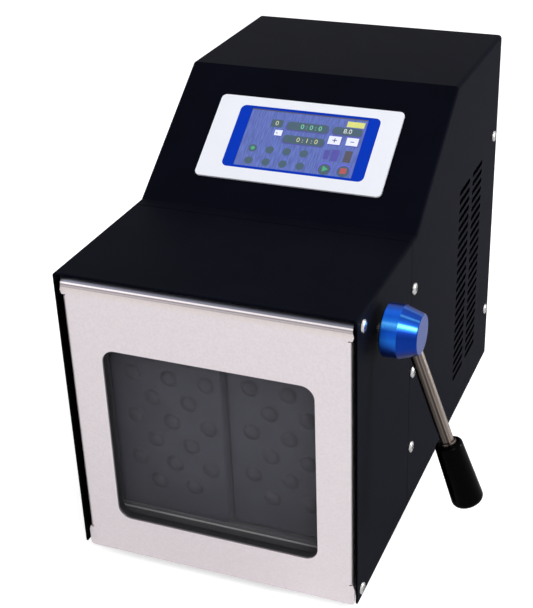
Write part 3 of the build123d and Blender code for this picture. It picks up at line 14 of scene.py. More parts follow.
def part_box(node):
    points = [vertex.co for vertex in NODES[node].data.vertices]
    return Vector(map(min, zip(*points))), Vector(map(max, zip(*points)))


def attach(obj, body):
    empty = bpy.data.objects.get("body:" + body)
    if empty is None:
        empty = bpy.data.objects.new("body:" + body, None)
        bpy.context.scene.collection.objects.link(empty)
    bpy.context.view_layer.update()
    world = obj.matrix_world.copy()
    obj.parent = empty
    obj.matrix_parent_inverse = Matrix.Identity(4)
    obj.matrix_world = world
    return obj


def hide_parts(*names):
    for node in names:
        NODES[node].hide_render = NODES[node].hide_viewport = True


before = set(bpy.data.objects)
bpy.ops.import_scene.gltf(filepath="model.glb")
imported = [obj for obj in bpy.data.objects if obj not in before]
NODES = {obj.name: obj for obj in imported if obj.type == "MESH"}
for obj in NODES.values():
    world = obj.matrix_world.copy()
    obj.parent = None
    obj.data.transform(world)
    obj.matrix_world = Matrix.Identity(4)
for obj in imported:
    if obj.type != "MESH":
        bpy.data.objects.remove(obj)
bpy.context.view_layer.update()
scene = bpy.context.scene

# %% [markdown]
# ## Cabinet coordinates
# On a drawing of the cabinet, x runs from its middle plane to the right, y from the front edges of the
# covers to the back, and z up from its underside, all in millimetres. The front cover's box gives where
# that corner of the drawing is, so the helper below turns drawing sizes into places in the scene.

# %% From the drawing to the scene
MM = 0.001
COVER_LOW, COVER_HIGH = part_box("front_cover")
DRAWING_ZERO = Vector(((COVER_LOW[0] + COVER_HIGH[0]) / 2, COVER_LOW[1], COVER_LOW[2]))


def place(x, y, z):
    """A point of the cabinet's drawing, in millimetres, as a place in the scene."""
    return DRAWING_ZERO + Vector((x, y, z)) * MM


print("drawing zero", tuple(round(v, 4) for v in DRAWING_ZERO))

# %% [markdown]
# ## Objects and nodes
# An object has to be linked to the scene before it shows. A node of a material or of a geometry tree is
# made, set and wired in the same three steps each time. A helper for each keeps the later cells short.

# %% Short helpers
def put_in_scene(name, data):
    """An object that shows a mesh, a lamp, a curve or a camera."""
    made = bpy.data.objects.new(name, data)
    scene.collection.objects.link(made)
    return made


def mesh_of(name, verts, edges=(), faces=()):
    """A mesh from lists of places, edges and faces."""
    mesh = bpy.data.meshes.new(name)
    mesh.from_pydata(verts, edges, faces)
    return mesh


def add_node(tree, kind, feeds=(), **settings):
    """Adds a node. The feeds name its inputs, each with a value or with the output that it is wired to."""
    made = tree.nodes.new(kind)
    for key, value in settings.items():
        setattr(made, key, value)
    for key, value in dict(feeds).items():
        if isinstance(value, bpy.types.NodeSocket):
            tree.links.new(value, made.inputs[key])
        else:
            made.inputs[key].default_value = value
    return made


def maths(tree, operation, *values):
    """The output of a Math node on numbers or other outputs."""
    return add_node(tree, "ShaderNodeMath", enumerate(values), operation=operation).outputs[0]


def object_places(tree):
    """Where each point of a piece is, in the object's own coordinates."""
    return add_node(tree, "ShaderNodeTexCoord").outputs["Object"]


def parts(tree, source):
    """The X, Y and Z of a place."""
    return add_node(tree, "ShaderNodeSeparateXYZ", {"Vector": source}).outputs

# %% [markdown]
# ## The camera
# The photograph looks down on the front right corner. A camera is a place, a turn and a focal length.
# The angles below turn it round a point inside the cabinet, and the shift moves the picture in its frame
# without tilting the upright edges.

# %% Camera at the photograph's view
PHOTO_W, PHOTO_H = 533, 608
SENSOR = 36.0
FOCAL_PX = 1285.5
CENTRE_PX = (291.3, 327.1)
AZIMUTH, ELEVATION, ROLL = radians(21.95), radians(28.99), radians(-1.67)
AIM = place(0, 150, 150)
AIM_OFF = (-4.4, 21.0, 994.6)

back = Vector((sin(AZIMUTH) * cos(ELEVATION), -cos(AZIMUTH) * cos(ELEVATION), sin(ELEVATION)))
level_right = Vector((0, 0, 1)).cross(back).normalized()
level_up = back.cross(level_right)
right = level_right * cos(ROLL) + level_up * sin(ROLL)
up = level_up * cos(ROLL) - level_right * sin(ROLL)

camera_data = bpy.data.cameras.new("photo_camera")
camera_data.sensor_width = SENSOR
camera_data.lens = FOCAL_PX * SENSOR / PHOTO_H
camera_data.shift_x = (PHOTO_W / 2 - CENTRE_PX[0]) / PHOTO_H
camera_data.shift_y = (CENTRE_PX[1] - PHOTO_H / 2) / PHOTO_H
camera_data.clip_start = 0.01
camera = put_in_scene("photo_camera", camera_data)
camera.location = AIM + (-AIM_OFF[0] * right - AIM_OFF[1] * up + AIM_OFF[2] * back) * MM
camera.rotation_mode = "QUATERNION"
camera.rotation_quaternion = Matrix((right, up, back)).transposed().to_quaternion()
scene.camera = camera
print("lens", round(camera_data.lens, 2), "mm, distance", round((camera.location - AIM).length, 3), "m")

# %% [markdown]
# ## Light and floor
# The photograph shows the machine on white, in soft light from everywhere, a little more of it from the
# upper right. A world that is white only to the camera, to reflections and through glass gives that
# background without flooding the black covers, and large area lamps do the lighting.

# %% World, lamps and floor
WORLD_LIGHT, WHITE = 0.42, (1, 1, 1, 1)
scene.view_settings.view_transform = "Standard"

world = bpy.data.worlds.new("studio")
scene.world = world
world.use_nodes = True
sky = world.node_tree
rays = add_node(sky, "ShaderNodeLightPath").outputs
either = maths(sky, "MAXIMUM", rays["Is Camera Ray"], rays["Is Glossy Ray"])
seen = maths(sky, "MAXIMUM", either, rays["Is Transmission Ray"])
level = add_node(sky, "ShaderNodeMapRange", {"Value": seen, "To Min": WORLD_LIGHT, "To Max": 1.0})
background = sky.nodes["Background"]
background.inputs["Color"].default_value = WHITE
sky.links.new(level.outputs["Result"], background.inputs["Strength"])


def lamp(name, where, aim, power, size):
    """An area lamp that faces a point of the drawing."""
    data = bpy.data.lights.new(name, "AREA")
    data.energy, data.shape, data.size = power, "DISK", size
    made = put_in_scene(name, data)
    made.location = Vector(where)
    made.rotation_euler = (place(*aim) - made.location).to_track_quat("-Z", "Y").to_euler()


lamp("key_lamp", (1.1, -1.3, 1.6), (0, 150, 150), 24, 0.9)
lamp("fill_lamp", (-1.6, -1.2, 0.9), (0, 100, 120), 12, 1.1)
lamp("top_lamp", (0.0, 0.5, 2.0), (0, 200, 200), 2.0, 1.2)
lamp("side_lamp", (1.9, 0.9, 0.4), (109, 120, 100), 30, 0.5)

FLOOR_HALF, PAPER_GLOW = 6.0, 0.58
floor_corners = [(x * FLOOR_HALF, y * FLOOR_HALF, 0) for x, y in ((-1, -1), (1, -1), (1, 1), (-1, 1))]
floor_mesh = mesh_of("studio_floor", floor_corners, faces=[(0, 1, 2, 3)])
put_in_scene("studio_floor", floor_mesh)
paper = bpy.data.materials.new("pale_paper")
paper.use_nodes = True
paper_shader = paper.node_tree.nodes["Principled BSDF"]
paper_looks = {"Base Color": (0.9, 0.9, 0.905, 1), "Roughness": 0.9, "Specular IOR Level": 0.1,
    "Emission Color": WHITE}
for name, value in paper_looks.items():
    paper_shader.inputs[name].default_value = value
paper_rays = add_node(paper.node_tree, "ShaderNodeLightPath").outputs
paper_level = maths(paper.node_tree, "MULTIPLY", paper_rays["Is Camera Ray"], PAPER_GLOW)
paper.node_tree.links.new(paper_level, paper_shader.inputs["Emission Strength"])
floor_mesh.materials.append(paper)

# %% [markdown]
# ## Finishes
# A real surface is never one flat colour: powder coat is pebbled, rolled steel has a grain, and plastic
# has a fine spark-eroded texture. Each finish starts from the same recipe, noise in the object's own
# coordinates that varies the colour, the roughness and the height a little, at sizes given in millimetres.
# The stretch makes the noise long in one direction, which turns it into a grain.

# %% The recipe for a finish
def opaque(colour):
    """A colour with its alpha. A single number is a grey."""
    return (*colour, 1.0) if isinstance(colour, tuple) else (colour, colour, colour, 1.0)


def tint(colour, gain):
    """The colour made lighter or darker."""
    return tuple(min(1.0, c * gain) for c in colour)


def colour_ramp(tree, source, stops):
    """The colours that a number gives, from pairs of position and colour."""
    made = add_node(tree, "ShaderNodeValToRGB", {"Fac": source})
    marks = made.color_ramp.elements
    for position, colour in stops[1:-1]:
        marks.new(position).color = opaque(colour)
    for end in (0, -1):
        marks[end].position = stops[end][0]
        marks[end].color = opaque(stops[end][1])
    return made.outputs["Color"]


def finish(
    name, colour, roughness, metal=0.0, mottle=0.08, patch=18.0, grain=0.5, relief=0.02,
    stretch=(1, 1, 1), spread=0.06, along=(0, 0, 1), shine=0.5,
):
    """A material with colour patches, varied roughness and a fine relief. Sizes in millimetres."""
    made = bpy.data.materials.new(name)
    made.use_nodes = True
    tree = made.node_tree
    turn = Vector(along).to_track_quat("Z", "Y").to_euler()
    laid = {"Vector": object_places(tree), "Rotation": turn, "Scale": [1 / share for share in stretch]}
    laid_out = add_node(tree, "ShaderNodeMapping", laid, vector_type="TEXTURE").outputs["Vector"]
    patches, fine = [
        add_node(tree, "ShaderNodeTexNoise", {"Vector": laid_out, "Scale": 1 / (size * MM), "Detail": detail})
        for size, detail in ((patch, 4), (grain, 3))
    ]
    stops = [(0.3, tint(colour, 1 - mottle)), (0.7, tint(colour, 1 + mottle))]
    limits = {"To Min": max(0.02, roughness - spread), "To Max": min(1.0, roughness + spread)}
    rough = add_node(tree, "ShaderNodeMapRange", {"Value": fine.outputs["Fac"], **limits})
    pebbles = {"Height": fine.outputs["Fac"], "Strength": 1.0, "Distance": relief * MM}
    bump = add_node(tree, "ShaderNodeBump", pebbles)
    shader = tree.nodes["Principled BSDF"]
    shader.inputs["Metallic"].default_value = metal
    shader.inputs["Specular IOR Level"].default_value = shine
    tree.links.new(colour_ramp(tree, patches.outputs["Fac"], stops), shader.inputs["Base Color"])
    tree.links.new(rough.outputs["Result"], shader.inputs["Roughness"])
    tree.links.new(bump.outputs["Normal"], shader.inputs["Normal"])
    return made


def socket(material, name, value):
    """Sets one input of a material's shader."""
    material.node_tree.nodes["Principled BSDF"].inputs[name].default_value = value

# %% [markdown]
# ## Finishes that change over a piece
# Some bands of colour here stand in for light and shade. The bright and dark bands of bent and turned metal are
# painted highlights and painted shade, and the inside of a cover is painted black as shade. The helpers below
# blend colours into a finish by height, by angle round an axis, or between limits, always in the object's own
# coordinates, so that the bands stay on the piece when it moves.

# %% Painted bands of light and shade, and painted shade inside the covers
PAINTED_SHADE_BLACK = (0.0002, 0.0002, 0.0003, 1)


def recolour(material, colours, share=1.0, blend="MULTIPLY"):
    """Blends colours into a finish, all over or as far as the share says."""
    tree = material.node_tree
    base = tree.nodes["Principled BSDF"].inputs["Base Color"]
    feeds = {"Factor": share, "A": base.links[0].from_socket, "B": colours}
    mixed = add_node(tree, "ShaderNodeMix", feeds, data_type="RGBA", blend_type=blend)
    tree.links.new(mixed.outputs["Result"], base)


def paint_bands_by_height(material, low, high, stops):
    """Paints light and shade: multiplies a finish by colours that change with the height in the object, between
    two heights.
    """
    tree = material.node_tree
    limits = {"Value": parts(tree, object_places(tree))["Z"], "From Min": low, "From Max": high}
    height = add_node(tree, "ShaderNodeMapRange", limits)
    recolour(material, colour_ramp(tree, height.outputs["Result"], stops))


def paint_bands_round(material, centre, axis, toward, stops, start=-1.0, until=1.0):
    """Paints highlights and shade: multiplies a finish by colours that change with the angle round an axis, in
    bands like the light on turned metal.

    The middle of the stops faces the given direction. Before start and past until, in metres along the
    axis, the finish stays plain."""
    tree = material.node_tree
    axis = Vector(axis).normalized()
    front = (Vector(toward) - axis * axis.dot(Vector(toward))).normalized()
    turn = Matrix((front, axis.cross(front), axis)).transposed().to_euler()
    laid = {"Vector": object_places(tree), "Location": centre, "Rotation": turn}
    turned = add_node(tree, "ShaderNodeMapping", laid, vector_type="TEXTURE")
    part = parts(tree, turned.outputs["Vector"])
    limits = {"Value": maths(tree, "ARCTAN2", part["Y"], part["X"]), "From Min": -pi, "From Max": pi}
    around = add_node(tree, "ShaderNodeMapRange", limits)
    between = maths(tree, "COMPARE", part["Z"], (start + until) / 2, (until - start) / 2)
    recolour(material, colour_ramp(tree, around.outputs["Result"], stops), between)


def paint_shade_inside(material, half_width, top):
    """Paints shade: makes a finish black where a cover's inner faces and cut edges lie, between the sides and
    below the top.
    """
    tree = material.node_tree
    part = parts(tree, object_places(tree))
    across = maths(tree, "COMPARE", part["X"], DRAWING_ZERO.x, half_width * MM)
    below = maths(tree, "COMPARE", part["Z"], place(0, 0, top / 2).z, top / 2 * MM)
    recolour(material, PAINTED_SHADE_BLACK, maths(tree, "MULTIPLY", across, below), "MIX")


def dress(material, *names):
    """Gives CAD nodes their finish."""
    for name in names:
        solid = NODES[name]
        solid.data.materials.clear()
        solid.data.materials.append(material)

# %% [markdown]
# ## The black covers and the chassis
# The two covers have a black powder coat: matt, almost without reflection, with a very fine pebble. The
# plates inside the covers have thin satin paint.

# %% Powder coat and chassis paint
COVER_BLACK = (0.002, 0.0024, 0.0056)
powder_coat = finish("powder_coat", COVER_BLACK, 0.56, mottle=0.12, patch=30, grain=0.7, relief=0.035,
    shine=0.013)
INNER_HALF, INNER_TOP = 108.8, 222.0
# The inner faces and cut edges of the covers are painted black as shade.
paint_shade_inside(powder_coat, INNER_HALF, INNER_TOP)
dress(powder_coat, "front_cover", "rear_cover")
chassis_paint = finish("chassis_paint", (0.02, 0.02, 0.023), 0.5, grain=0.9, relief=0.03, shine=0.25)
dress(chassis_paint, "base_plate", "side_plate_left", "side_plate_right", "bulkhead", "rear_panel",
    "motor_bracket")
print("covers", powder_coat.name, "chassis", chassis_paint.name)

# %% [markdown]
# ## Stainless steel
# The door and the chamber are bent from stainless sheet with a fine satin finish. Rolling and grinding
# leave a grain, so the noise is stretched: short across the grain, long along it. The bright line and the
# dark bands of the door's top bend are a painted highlight and painted shade, by height, and don't follow the
# lamps.

# %% Satin and ground steel
satin_steel = finish("satin_steel", (0.77, 0.71, 0.735), 0.42, metal=1.0, mottle=0.04, patch=1.6, grain=0.35,
    relief=0.004)
FOLD_TOP, FOLD_BEND = 224.0, 6.0
fold_foot = place(0, 0, FOLD_TOP - FOLD_BEND).z
# Painted highlight and painted shade across the door's top bend, by height.
fold_light_and_shade_stops = [(0.0, 1), (0.2, (0.99, 0.97, 0.93)), (0.4, (0.93, 0.9, 0.86)), (0.45, (0.55, 0.53, 0.53)),
    (0.52, (0.72, 0.7, 0.7))]
fold_light_and_shade_stops += [(0.56, (0.5, 0.48, 0.49)), (0.62, (0.4, 0.39, 0.4)), (0.65, (1.05, 1.05, 1.03)), (0.71, 1.05)]
fold_light_and_shade_stops += [(0.74, (0.24, 0.26, 0.31)), (1.0, (0.2, 0.225, 0.28))]
paint_bands_by_height(satin_steel, fold_foot - FOLD_BEND * MM, fold_foot + FOLD_BEND * MM, fold_light_and_shade_stops)
dress(satin_steel, "door_skin")
chamber_steel = finish("chamber_steel", (0.26, 0.26, 0.275), 0.6, metal=0.35, mottle=0.05, patch=25, grain=0.5,
    relief=0.01)
dress(chamber_steel, "chamber_liner")
ground_steel = finish("ground_steel", (0.56, 0.535, 0.51), 0.26, metal=1.0, mottle=0.1, patch=6, grain=0.3,
    relief=0.006, stretch=(1, 1, 0.06))
dress(ground_steel, "push_rod_left", "push_rod_right", "crankshaft", "crank_bearings")
ARM_OUT, ARM_TILT, ARM_BACK = 15.3, radians(18.8), radians(2.5)
arm_way = Vector((sin(ARM_TILT), cos(ARM_TILT) * sin(ARM_BACK), -cos(ARM_TILT) * cos(ARM_BACK)))
drawn_steel = finish("drawn_steel", (0.21, 0.175, 0.155), 0.3, metal=1.0, mottle=0.6, patch=2.6, grain=0.3,
    relief=0.006, stretch=(1, 1, 0.01), along=arm_way)
dress(drawn_steel, "lever_arm", "grip_ferrule")
plated_steel = finish("plated_steel", (0.56, 0.55, 0.545), 0.22, metal=1.0, mottle=0.05, patch=3, grain=0.25,
    relief=0.004)
dress(plated_steel, "lever_shaft", "foot_screws", "strikers", "latch_hooks", "board_standoffs")
print("steels", satin_steel.name, ground_steel.name, plated_steel.name)

# %% [markdown]
# ## Aluminium, bronze and paint inside
# The drive behind the bulkhead is seen only through the vents and with the covers off, but it is finished
# like the rest: milled aluminium, bearing bronze and a dark painted motor.

# %% Metals inside
milled = finish("milled_aluminium", (0.6, 0.61, 0.63), 0.35, metal=1.0, mottle=0.05, patch=10, grain=0.5,
    relief=0.01, stretch=(1, 0.2, 1))
dress(milled, "bearing_pillars", "yoke_left", "yoke_right", "eccentric_discs", "yoke_rollers", "crank_pulley",
    "motor_pulley")
dress(milled, "display_module", "power_supply")
bronze = finish("bearing_bronze", (0.5, 0.33, 0.13), 0.35, metal=1.0, mottle=0.12, patch=5, grain=0.4,
    relief=0.008)
dress(bronze, "shaft_bushes", "rod_guides")
motor_paint = finish("motor_paint", (0.045, 0.047, 0.052), 0.4, mottle=0.1, grain=1.2, relief=0.05)
dress(motor_paint, "drive_motor")
print("inside metals", 3)

# %% [markdown]
# ## Plastics and rubber
# Moulded parts differ by gloss: the grip is polished, the frame round the pane is matt, and the feet and
# seals are soft rubber with hardly any shine.

# %% Plastics and rubber
gloss_black = finish("gloss_black", (0.0006, 0.0006, 0.0008), 0.16, mottle=0.1, patch=8, grain=2.5,
    relief=0.004, spread=0.03, shine=0.02)
matt_black = finish("matt_black", (0.012, 0.012, 0.014), 0.55, mottle=0.15, patch=8, grain=0.6, relief=0.03)
rubber = finish("soft_rubber", (0.018, 0.018, 0.019), 0.8, mottle=0.2, patch=5, grain=0.5, relief=0.05)
dress(rubber, "door_seal", "rod_seals", "drive_belt")
print("plastics", 3)

# %% [markdown]
# ## Blue, white and green
# The lever's hub is turned aluminium, anodised blue. The display sits in a smooth white plate with a blue
# surround, and its board behind the slope is green.

# %% Anodised blue, white plate, blue surround, board
anodised = finish("anodised_blue", (0.0009, 0.07, 0.5), 0.3, metal=0.9, mottle=0.06, patch=2.0, grain=0.25,
    relief=0.01, stretch=(1, 0.15, 0.15))
white_plate = finish("white_plate", (0.83, 0.85, 0.92), 0.3, mottle=0.012, patch=20, grain=0.6, relief=0.004,
    shine=0.15)
dress(white_plate, "display_bezel")
blue_film = finish("blue_film", (0.001, 0.036, 0.47), 0.3, mottle=0.03, patch=12, grain=0.6, relief=0.004,
    shine=0.05)
dress(blue_film, "screen_surround")
board_green = finish("board_green", (0.01, 0.12, 0.04), 0.4, mottle=0.3, patch=3, grain=0.8, relief=0.03)
dress(board_green, "control_board")
screen_glass = finish("screen_glass", (0.1, 0.14, 0.42), 0.2, mottle=0.28, patch=1.1, grain=1.0, relief=0.002,
    stretch=(1, 0.12, 0.12), shine=0.15)
socket(screen_glass, "Emission Color", (0.2, 0.26, 0.62, 1))
socket(screen_glass, "Emission Strength", 0.1)
dress(screen_glass, "touch_screen")
print("display", white_plate.name, blue_film.name, screen_glass.name)

# %% [markdown]
# ## The pane
# The window is a sheet of grey tinted plastic. The light passes it twice, so a light tint is enough to
# make the chamber look dark.

# %% Tinted pane
pane_tint = finish("tinted_pane", (0.055, 0.055, 0.064), 0.05, mottle=0.04, patch=30, grain=30, relief=0.0,
    spread=0.01, shine=0.3)
socket(pane_tint, "Alpha", 0.3)
dress(pane_tint, "window_pane")
print("pane", pane_tint.name)

# %% [markdown]
# ## Tools for repeated forms
# A machine is full of things that repeat: screws, lamps, wires, ribs. Geometry Nodes put one form on many
# points, so a change of size is made once. The helper below runs such a tree and keeps the result as a
# plain mesh, because only plain meshes are exported.

# %% Running a geometry tree
def new_tree(name, **sizes):
    """An empty geometry tree, its inputs' outlets and its end. The sizes name the inputs and their kinds."""
    tree = bpy.data.node_groups.new(name, "GeometryNodeTree")
    for label, kind in {"Geometry": "Geometry", **sizes}.items():
        tree.interface.new_socket(label, in_out="INPUT", socket_type="NodeSocket" + kind)
    tree.interface.new_socket("Geometry", in_out="OUTPUT", socket_type="NodeSocketGeometry")
    return tree, add_node(tree, "NodeGroupInput").outputs, add_node(tree, "NodeGroupOutput")


def close_tree(tree, source, given, result):
    """Ends a tree: real geometry instead of instances, then its finish."""
    real = add_node(tree, "GeometryNodeRealizeInstances", {0: source})
    coat = add_node(tree, "GeometryNodeSetMaterial", {"Geometry": real.outputs[0], "Material": given["Finish"]})
    tree.links.new(coat.outputs[0], result.inputs["Geometry"])


def final_mesh(piece):
    """The piece's mesh as its modifiers leave it."""
    bpy.context.view_layer.update()
    return bpy.data.meshes.new_from_object(piece.evaluated_get(bpy.context.evaluated_depsgraph_get()))


def grow(name, tree, base, sizes):
    """Runs a tree on a base mesh and returns the result as a plain mesh object."""
    piece = put_in_scene(name, base)
    step = piece.modifiers.new("grow", "NODES")
    step.node_group = tree
    for item in tree.interface.items_tree:
        if item.in_out == "INPUT" and item.name in sizes:
            step[item.identifier] = sizes[item.name]
    mesh = final_mesh(piece)
    mesh.name = name
    piece.modifiers.clear()
    piece.data = mesh
    return piece


scatter_tree, given, result = new_tree("put_on_points", Form="Object", Size="Float", Finish="Material")
form = add_node(scatter_tree, "GeometryNodeObjectInfo", {"Object": given["Form"]}).outputs["Geometry"]
turn = add_node(scatter_tree, "GeometryNodeInputNamedAttribute", {"Name": "turn"}, data_type="FLOAT_VECTOR")
copies = {"Points": given["Geometry"], "Instance": form, "Rotation": turn.outputs["Attribute"],
    "Scale": given["Size"]}
spread = add_node(scatter_tree, "GeometryNodeInstanceOnPoints", copies)
close_tree(scatter_tree, spread.outputs[0], given, result)


def scatter(name, form_mesh, spots, material, size=1.0):
    """Puts one form on many spots. Each spot is a place and the direction of its top, or a full turn."""
    base = mesh_of(name, [tuple(where) for where, out in spots])
    turns = base.attributes.new("turn", "FLOAT_VECTOR", "POINT")
    for item, (where, out) in zip(turns.data, spots):
        item.vector = out if isinstance(out, Euler) else Vector(out).to_track_quat("Z", "Y").to_euler()
    pattern = bpy.data.objects.new(name + "_form", form_mesh)
    piece = grow(name, scatter_tree, base, {"Form": pattern, "Size": size, "Finish": material})
    bpy.data.objects.remove(pattern)
    return piece


print("trees", scatter_tree.name)

# %% [markdown]
# ## Turned forms
# Hubs, grips, feet and screw heads are turned: a profile goes once round an axis. The profile lists pairs
# of radius and height in millimetres, with a small chamfer wherever the real edge is broken, because a
# sharp edge catches no light.

# %% The lathe
SAME_POINT = 0.0005


def close_seams(mesh, merge=0.0):
    """Merges points that are nearer than a distance in millimetres, and turns all faces outwards."""
    solid = bmesh.new()
    solid.from_mesh(mesh)
    if merge:
        bmesh.ops.remove_doubles(solid, verts=solid.verts, dist=merge * MM)
    bmesh.ops.recalc_face_normals(solid, faces=solid.faces)
    solid.to_mesh(mesh)
    solid.free()


def smooth(mesh, degrees):
    """Smooth shading, with edges past an angle left crisp."""
    mesh.shade_smooth()
    mesh.set_sharp_from_angle(angle=radians(degrees))


def lathe(name, profile, where=(0, 0, 0), axis=(0, 0, 1), turns=64, sharp=35):
    """A turned solid. The profile runs from one pole to the other, in millimetres."""
    verts, rings = [], []
    for radius, height in profile:
        count = 1 if radius == 0 else turns
        rings.append([len(verts) + i for i in range(count)])
        for i in range(count):
            angle = 2 * pi * i / turns
            verts.append((radius * cos(angle) * MM, radius * sin(angle) * MM, height * MM))
    faces = []
    for low, high in zip(rings, rings[1:]):
        for i in range(turns):
            j = (i + 1) % turns
            corners = [low[i % len(low)], low[j % len(low)], high[j % len(high)], high[i % len(high)]]
            faces.append(list(dict.fromkeys(corners)))
    mesh = mesh_of(name, verts, faces=faces)
    mesh.transform(Matrix.Translation(where) @ Vector(axis).to_track_quat("Z", "Y").to_matrix().to_4x4())
    close_seams(mesh, SAME_POINT)
    smooth(mesh, sharp)
    return mesh


def piece_of(name, mesh, material, body, *replaced, slot=None):
    """Shows a mesh as a piece of the object, riding on its body."""
    return settle(put_in_scene(name, mesh), material, body, *replaced, slot=slot)


def settle(piece, material, body, *replaced, slot=None):
    """Gives a piece its finish, its body and the CAD nodes that it stands for."""
    piece.data.materials.clear()
    piece.data.materials.append(material)
    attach(piece, body)
    if replaced:
        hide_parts(*replaced)
    return piece

# %% [markdown]
# ## Cover screws
# Twelve pan-head screws hold the covers. The head is a flat dome with a cross recess. It is turned once,
# the recess is cut with a boolean, and the screws are put where the drawing has them, on both sides.

# %% Pan-head screws
CAB_HALF, CAB_DEPTH, FRONT_HEIGHT, BACK_HEIGHT = 109.0, 376.6, 228.5, 303.5
HEAD_R, HEAD_H = 4.6, 1.9
CROSS_L, CROSS_W, CROSS_DEEP, CUT_TOP = 4.8, 0.95, 1.1, 4.0


def box_mesh(name, low, high):
    """A plain block between two corners, in millimetres, used as a cutter."""
    mesh = bpy.data.meshes.new(name)
    block = bmesh.new()
    bmesh.ops.create_cube(block, size=1.0)
    for vert in block.verts:
        vert.co = [(low[i] + (vert.co[i] + 0.5) * (high[i] - low[i])) * MM for i in range(3)]
    block.to_mesh(mesh)
    block.free()
    return mesh


def carve(mesh, cutters):
    """Cuts a list of meshes out of a mesh and returns the result."""
    piece = put_in_scene("carved", mesh)
    tools = [put_in_scene("cutter", cutter) for cutter in cutters]
    for tool in tools:
        step = piece.modifiers.new("cut", "BOOLEAN")
        step.operation = "DIFFERENCE"
        step.object = tool
    cut = final_mesh(piece)
    for helper in tools + [piece]:
        bpy.data.objects.remove(helper)
    cut.set_sharp_from_angle(angle=radians(35))
    return cut


head_profile = [(0, -1.0), (3.2, -1.0), (3.2, 0), (HEAD_R - 0.15, 0.0), (HEAD_R, 0.2), (HEAD_R - 0.15, 0.95)]
head_profile += [(HEAD_R - 0.7, 1.45), (HEAD_R - 1.6, 1.75), (HEAD_R - 2.8, HEAD_H), (0, HEAD_H)]
cuts = []
for name, half_x, half_y in (("long_cut", CROSS_L / 2, CROSS_W / 2), ("wide_cut", CROSS_W / 2, CROSS_L / 2)):
    cuts.append(box_mesh(name, (-half_x, -half_y, HEAD_H - CROSS_DEEP), (half_x, half_y, CUT_TOP)))
pan_head = carve(lathe("pan_head", head_profile, turns=40), cuts)

SEAM_AT = 120.4
side_spots = [(11.0, FRONT_HEIGHT - 9.3), (CAB_DEPTH - 11.6, 51.4), (CAB_DEPTH - 11.6, 219.0)]
side_spots += [(SEAM_AT + 6.8, z) for z in (52.2, 119.1, FRONT_HEIGHT - 39.8)]
screw_spots = [(place(s * CAB_HALF, y, z), (s, 0, 0.0)) for s in (-1, 1) for y, z in side_spots]
screws = scatter("pan_head_screws", pan_head, screw_spots, plated_steel)
settle(screws, plated_steel, "cabinet", "cover_screws", slot="screw_steel")
print("screws", len(screw_spots), "faces", len(screws.data.polygons))

# %% [markdown]
# ## The lever's hub and grip
# The hub is turned from aluminium bar: a short cylinder, then a cone to a smaller flat end. On the real hub
# fine rings left by the tool make its blue coat glow in bands; here these bands are painted highlights and
# painted shade in the finish's colour, by the angle round the axis, and the flat end is painted a little
# darker. The rod's light and dark lines are painted the same way. They turn with the lever and don't follow
# the lamps. The grip is a polished moulding, a little thicker at its foot, with a shallow dish at the top
# where the rod goes in.

# %% Hub and grip
HUB_GAP, HUB_R, HUB_NOSE_R, HUB_CYL, HUB_CONE = 5.4, 18.3, 13.9, 11.7, 12.8
LEVER_Y, LEVER_Z = 43.9, FRONT_HEIGHT - 28.0
hub_profile = [(0, 0), (HUB_R - 0.8, 0), (HUB_R, 0.8), (HUB_R, HUB_CYL - 0.15), (HUB_R - 0.1, HUB_CYL + 0.2)]
hub_profile += [(HUB_NOSE_R + 0.2, HUB_CYL + HUB_CONE - 0.7), (HUB_NOSE_R - 0.45, HUB_CYL + HUB_CONE),
    (0, HUB_CYL + HUB_CONE)]
hub_foot = place(CAB_HALF + HUB_GAP, LEVER_Y, LEVER_Z)
hub_mesh = lathe("lever_hub_turned", hub_profile, hub_foot, (1, 0, 0), turns=128, sharp=14)
# The stops below are painted highlights and painted shade round the hub's axis; the flat end is painted a
# little darker.
cylinder_light_and_shade_stops = [(0.0, (4, 0.45, 0.5)), (0.33, (3, 0.4, 0.5)), (0.4, (5, 1.2, 1.0)), (0.45, (5, 1.3, 1.1)),
    (0.475, (12, 2.3, 1.4))]
cylinder_light_and_shade_stops += [(0.492, (90, 6.0, 2.0)), (0.512, (30, 3.0, 1.4)), (0.535, (3, 1.0, 1.0)),
    (0.56, (5, 1.4, 1.2)), (0.59, (12, 2.1, 1.3))]
cylinder_light_and_shade_stops += [(0.65, (8, 0.9, 0.8)), (0.69, (3, 0.35, 0.4)), (1.0, (4, 0.45, 0.5))]
cone_light_and_shade_stops = [(0.0, (3, 0.35, 0.4)), (0.33, (3, 0.35, 0.45)), (0.357, (30, 1.9, 1.0)), (0.37, (4, 0.6, 0.6)),
    (0.415, (5, 0.7, 0.7))]
cone_light_and_shade_stops += [(0.428, (60, 3.6, 1.3)), (0.44, (6, 0.9, 0.8)), (0.475, (8, 1.1, 0.9)), (0.491, (90, 5.4, 1.7)),
    (0.508, (20, 1.8, 1.0))]
cone_light_and_shade_stops += [(0.53, (4, 0.55, 0.65)), (0.56, (1, 0.4, 0.5)), (0.66, (2, 0.45, 0.55)), (0.71, (1, 0.2, 0.3)),
    (1.0, (3, 0.35, 0.4))]
nose_shade_stops = [(0.0, (1.0, 0.55, 0.55)), (0.5, (1.0, 0.6, 0.6)), (1.0, (1.0, 0.55, 0.55))]
HUB_GLINT, HUB_BEFORE, HUB_PAST = (0, -0.78, 0.62), -0.001, 0.1
cone_from, nose_plane = HUB_CYL * MM, (HUB_CYL + HUB_CONE - 0.3) * MM
for stops, start, until in (
    (cylinder_light_and_shade_stops, HUB_BEFORE, cone_from),
    (cone_light_and_shade_stops, cone_from, nose_plane),
    (nose_shade_stops, nose_plane, HUB_PAST),
):
    paint_bands_round(anodised, hub_foot, (1, 0, 0), HUB_GLINT, stops, start, until)
piece_of("lever_hub_turned", hub_mesh, anodised, "lever", "lever_hub", slot="anodised_blue")

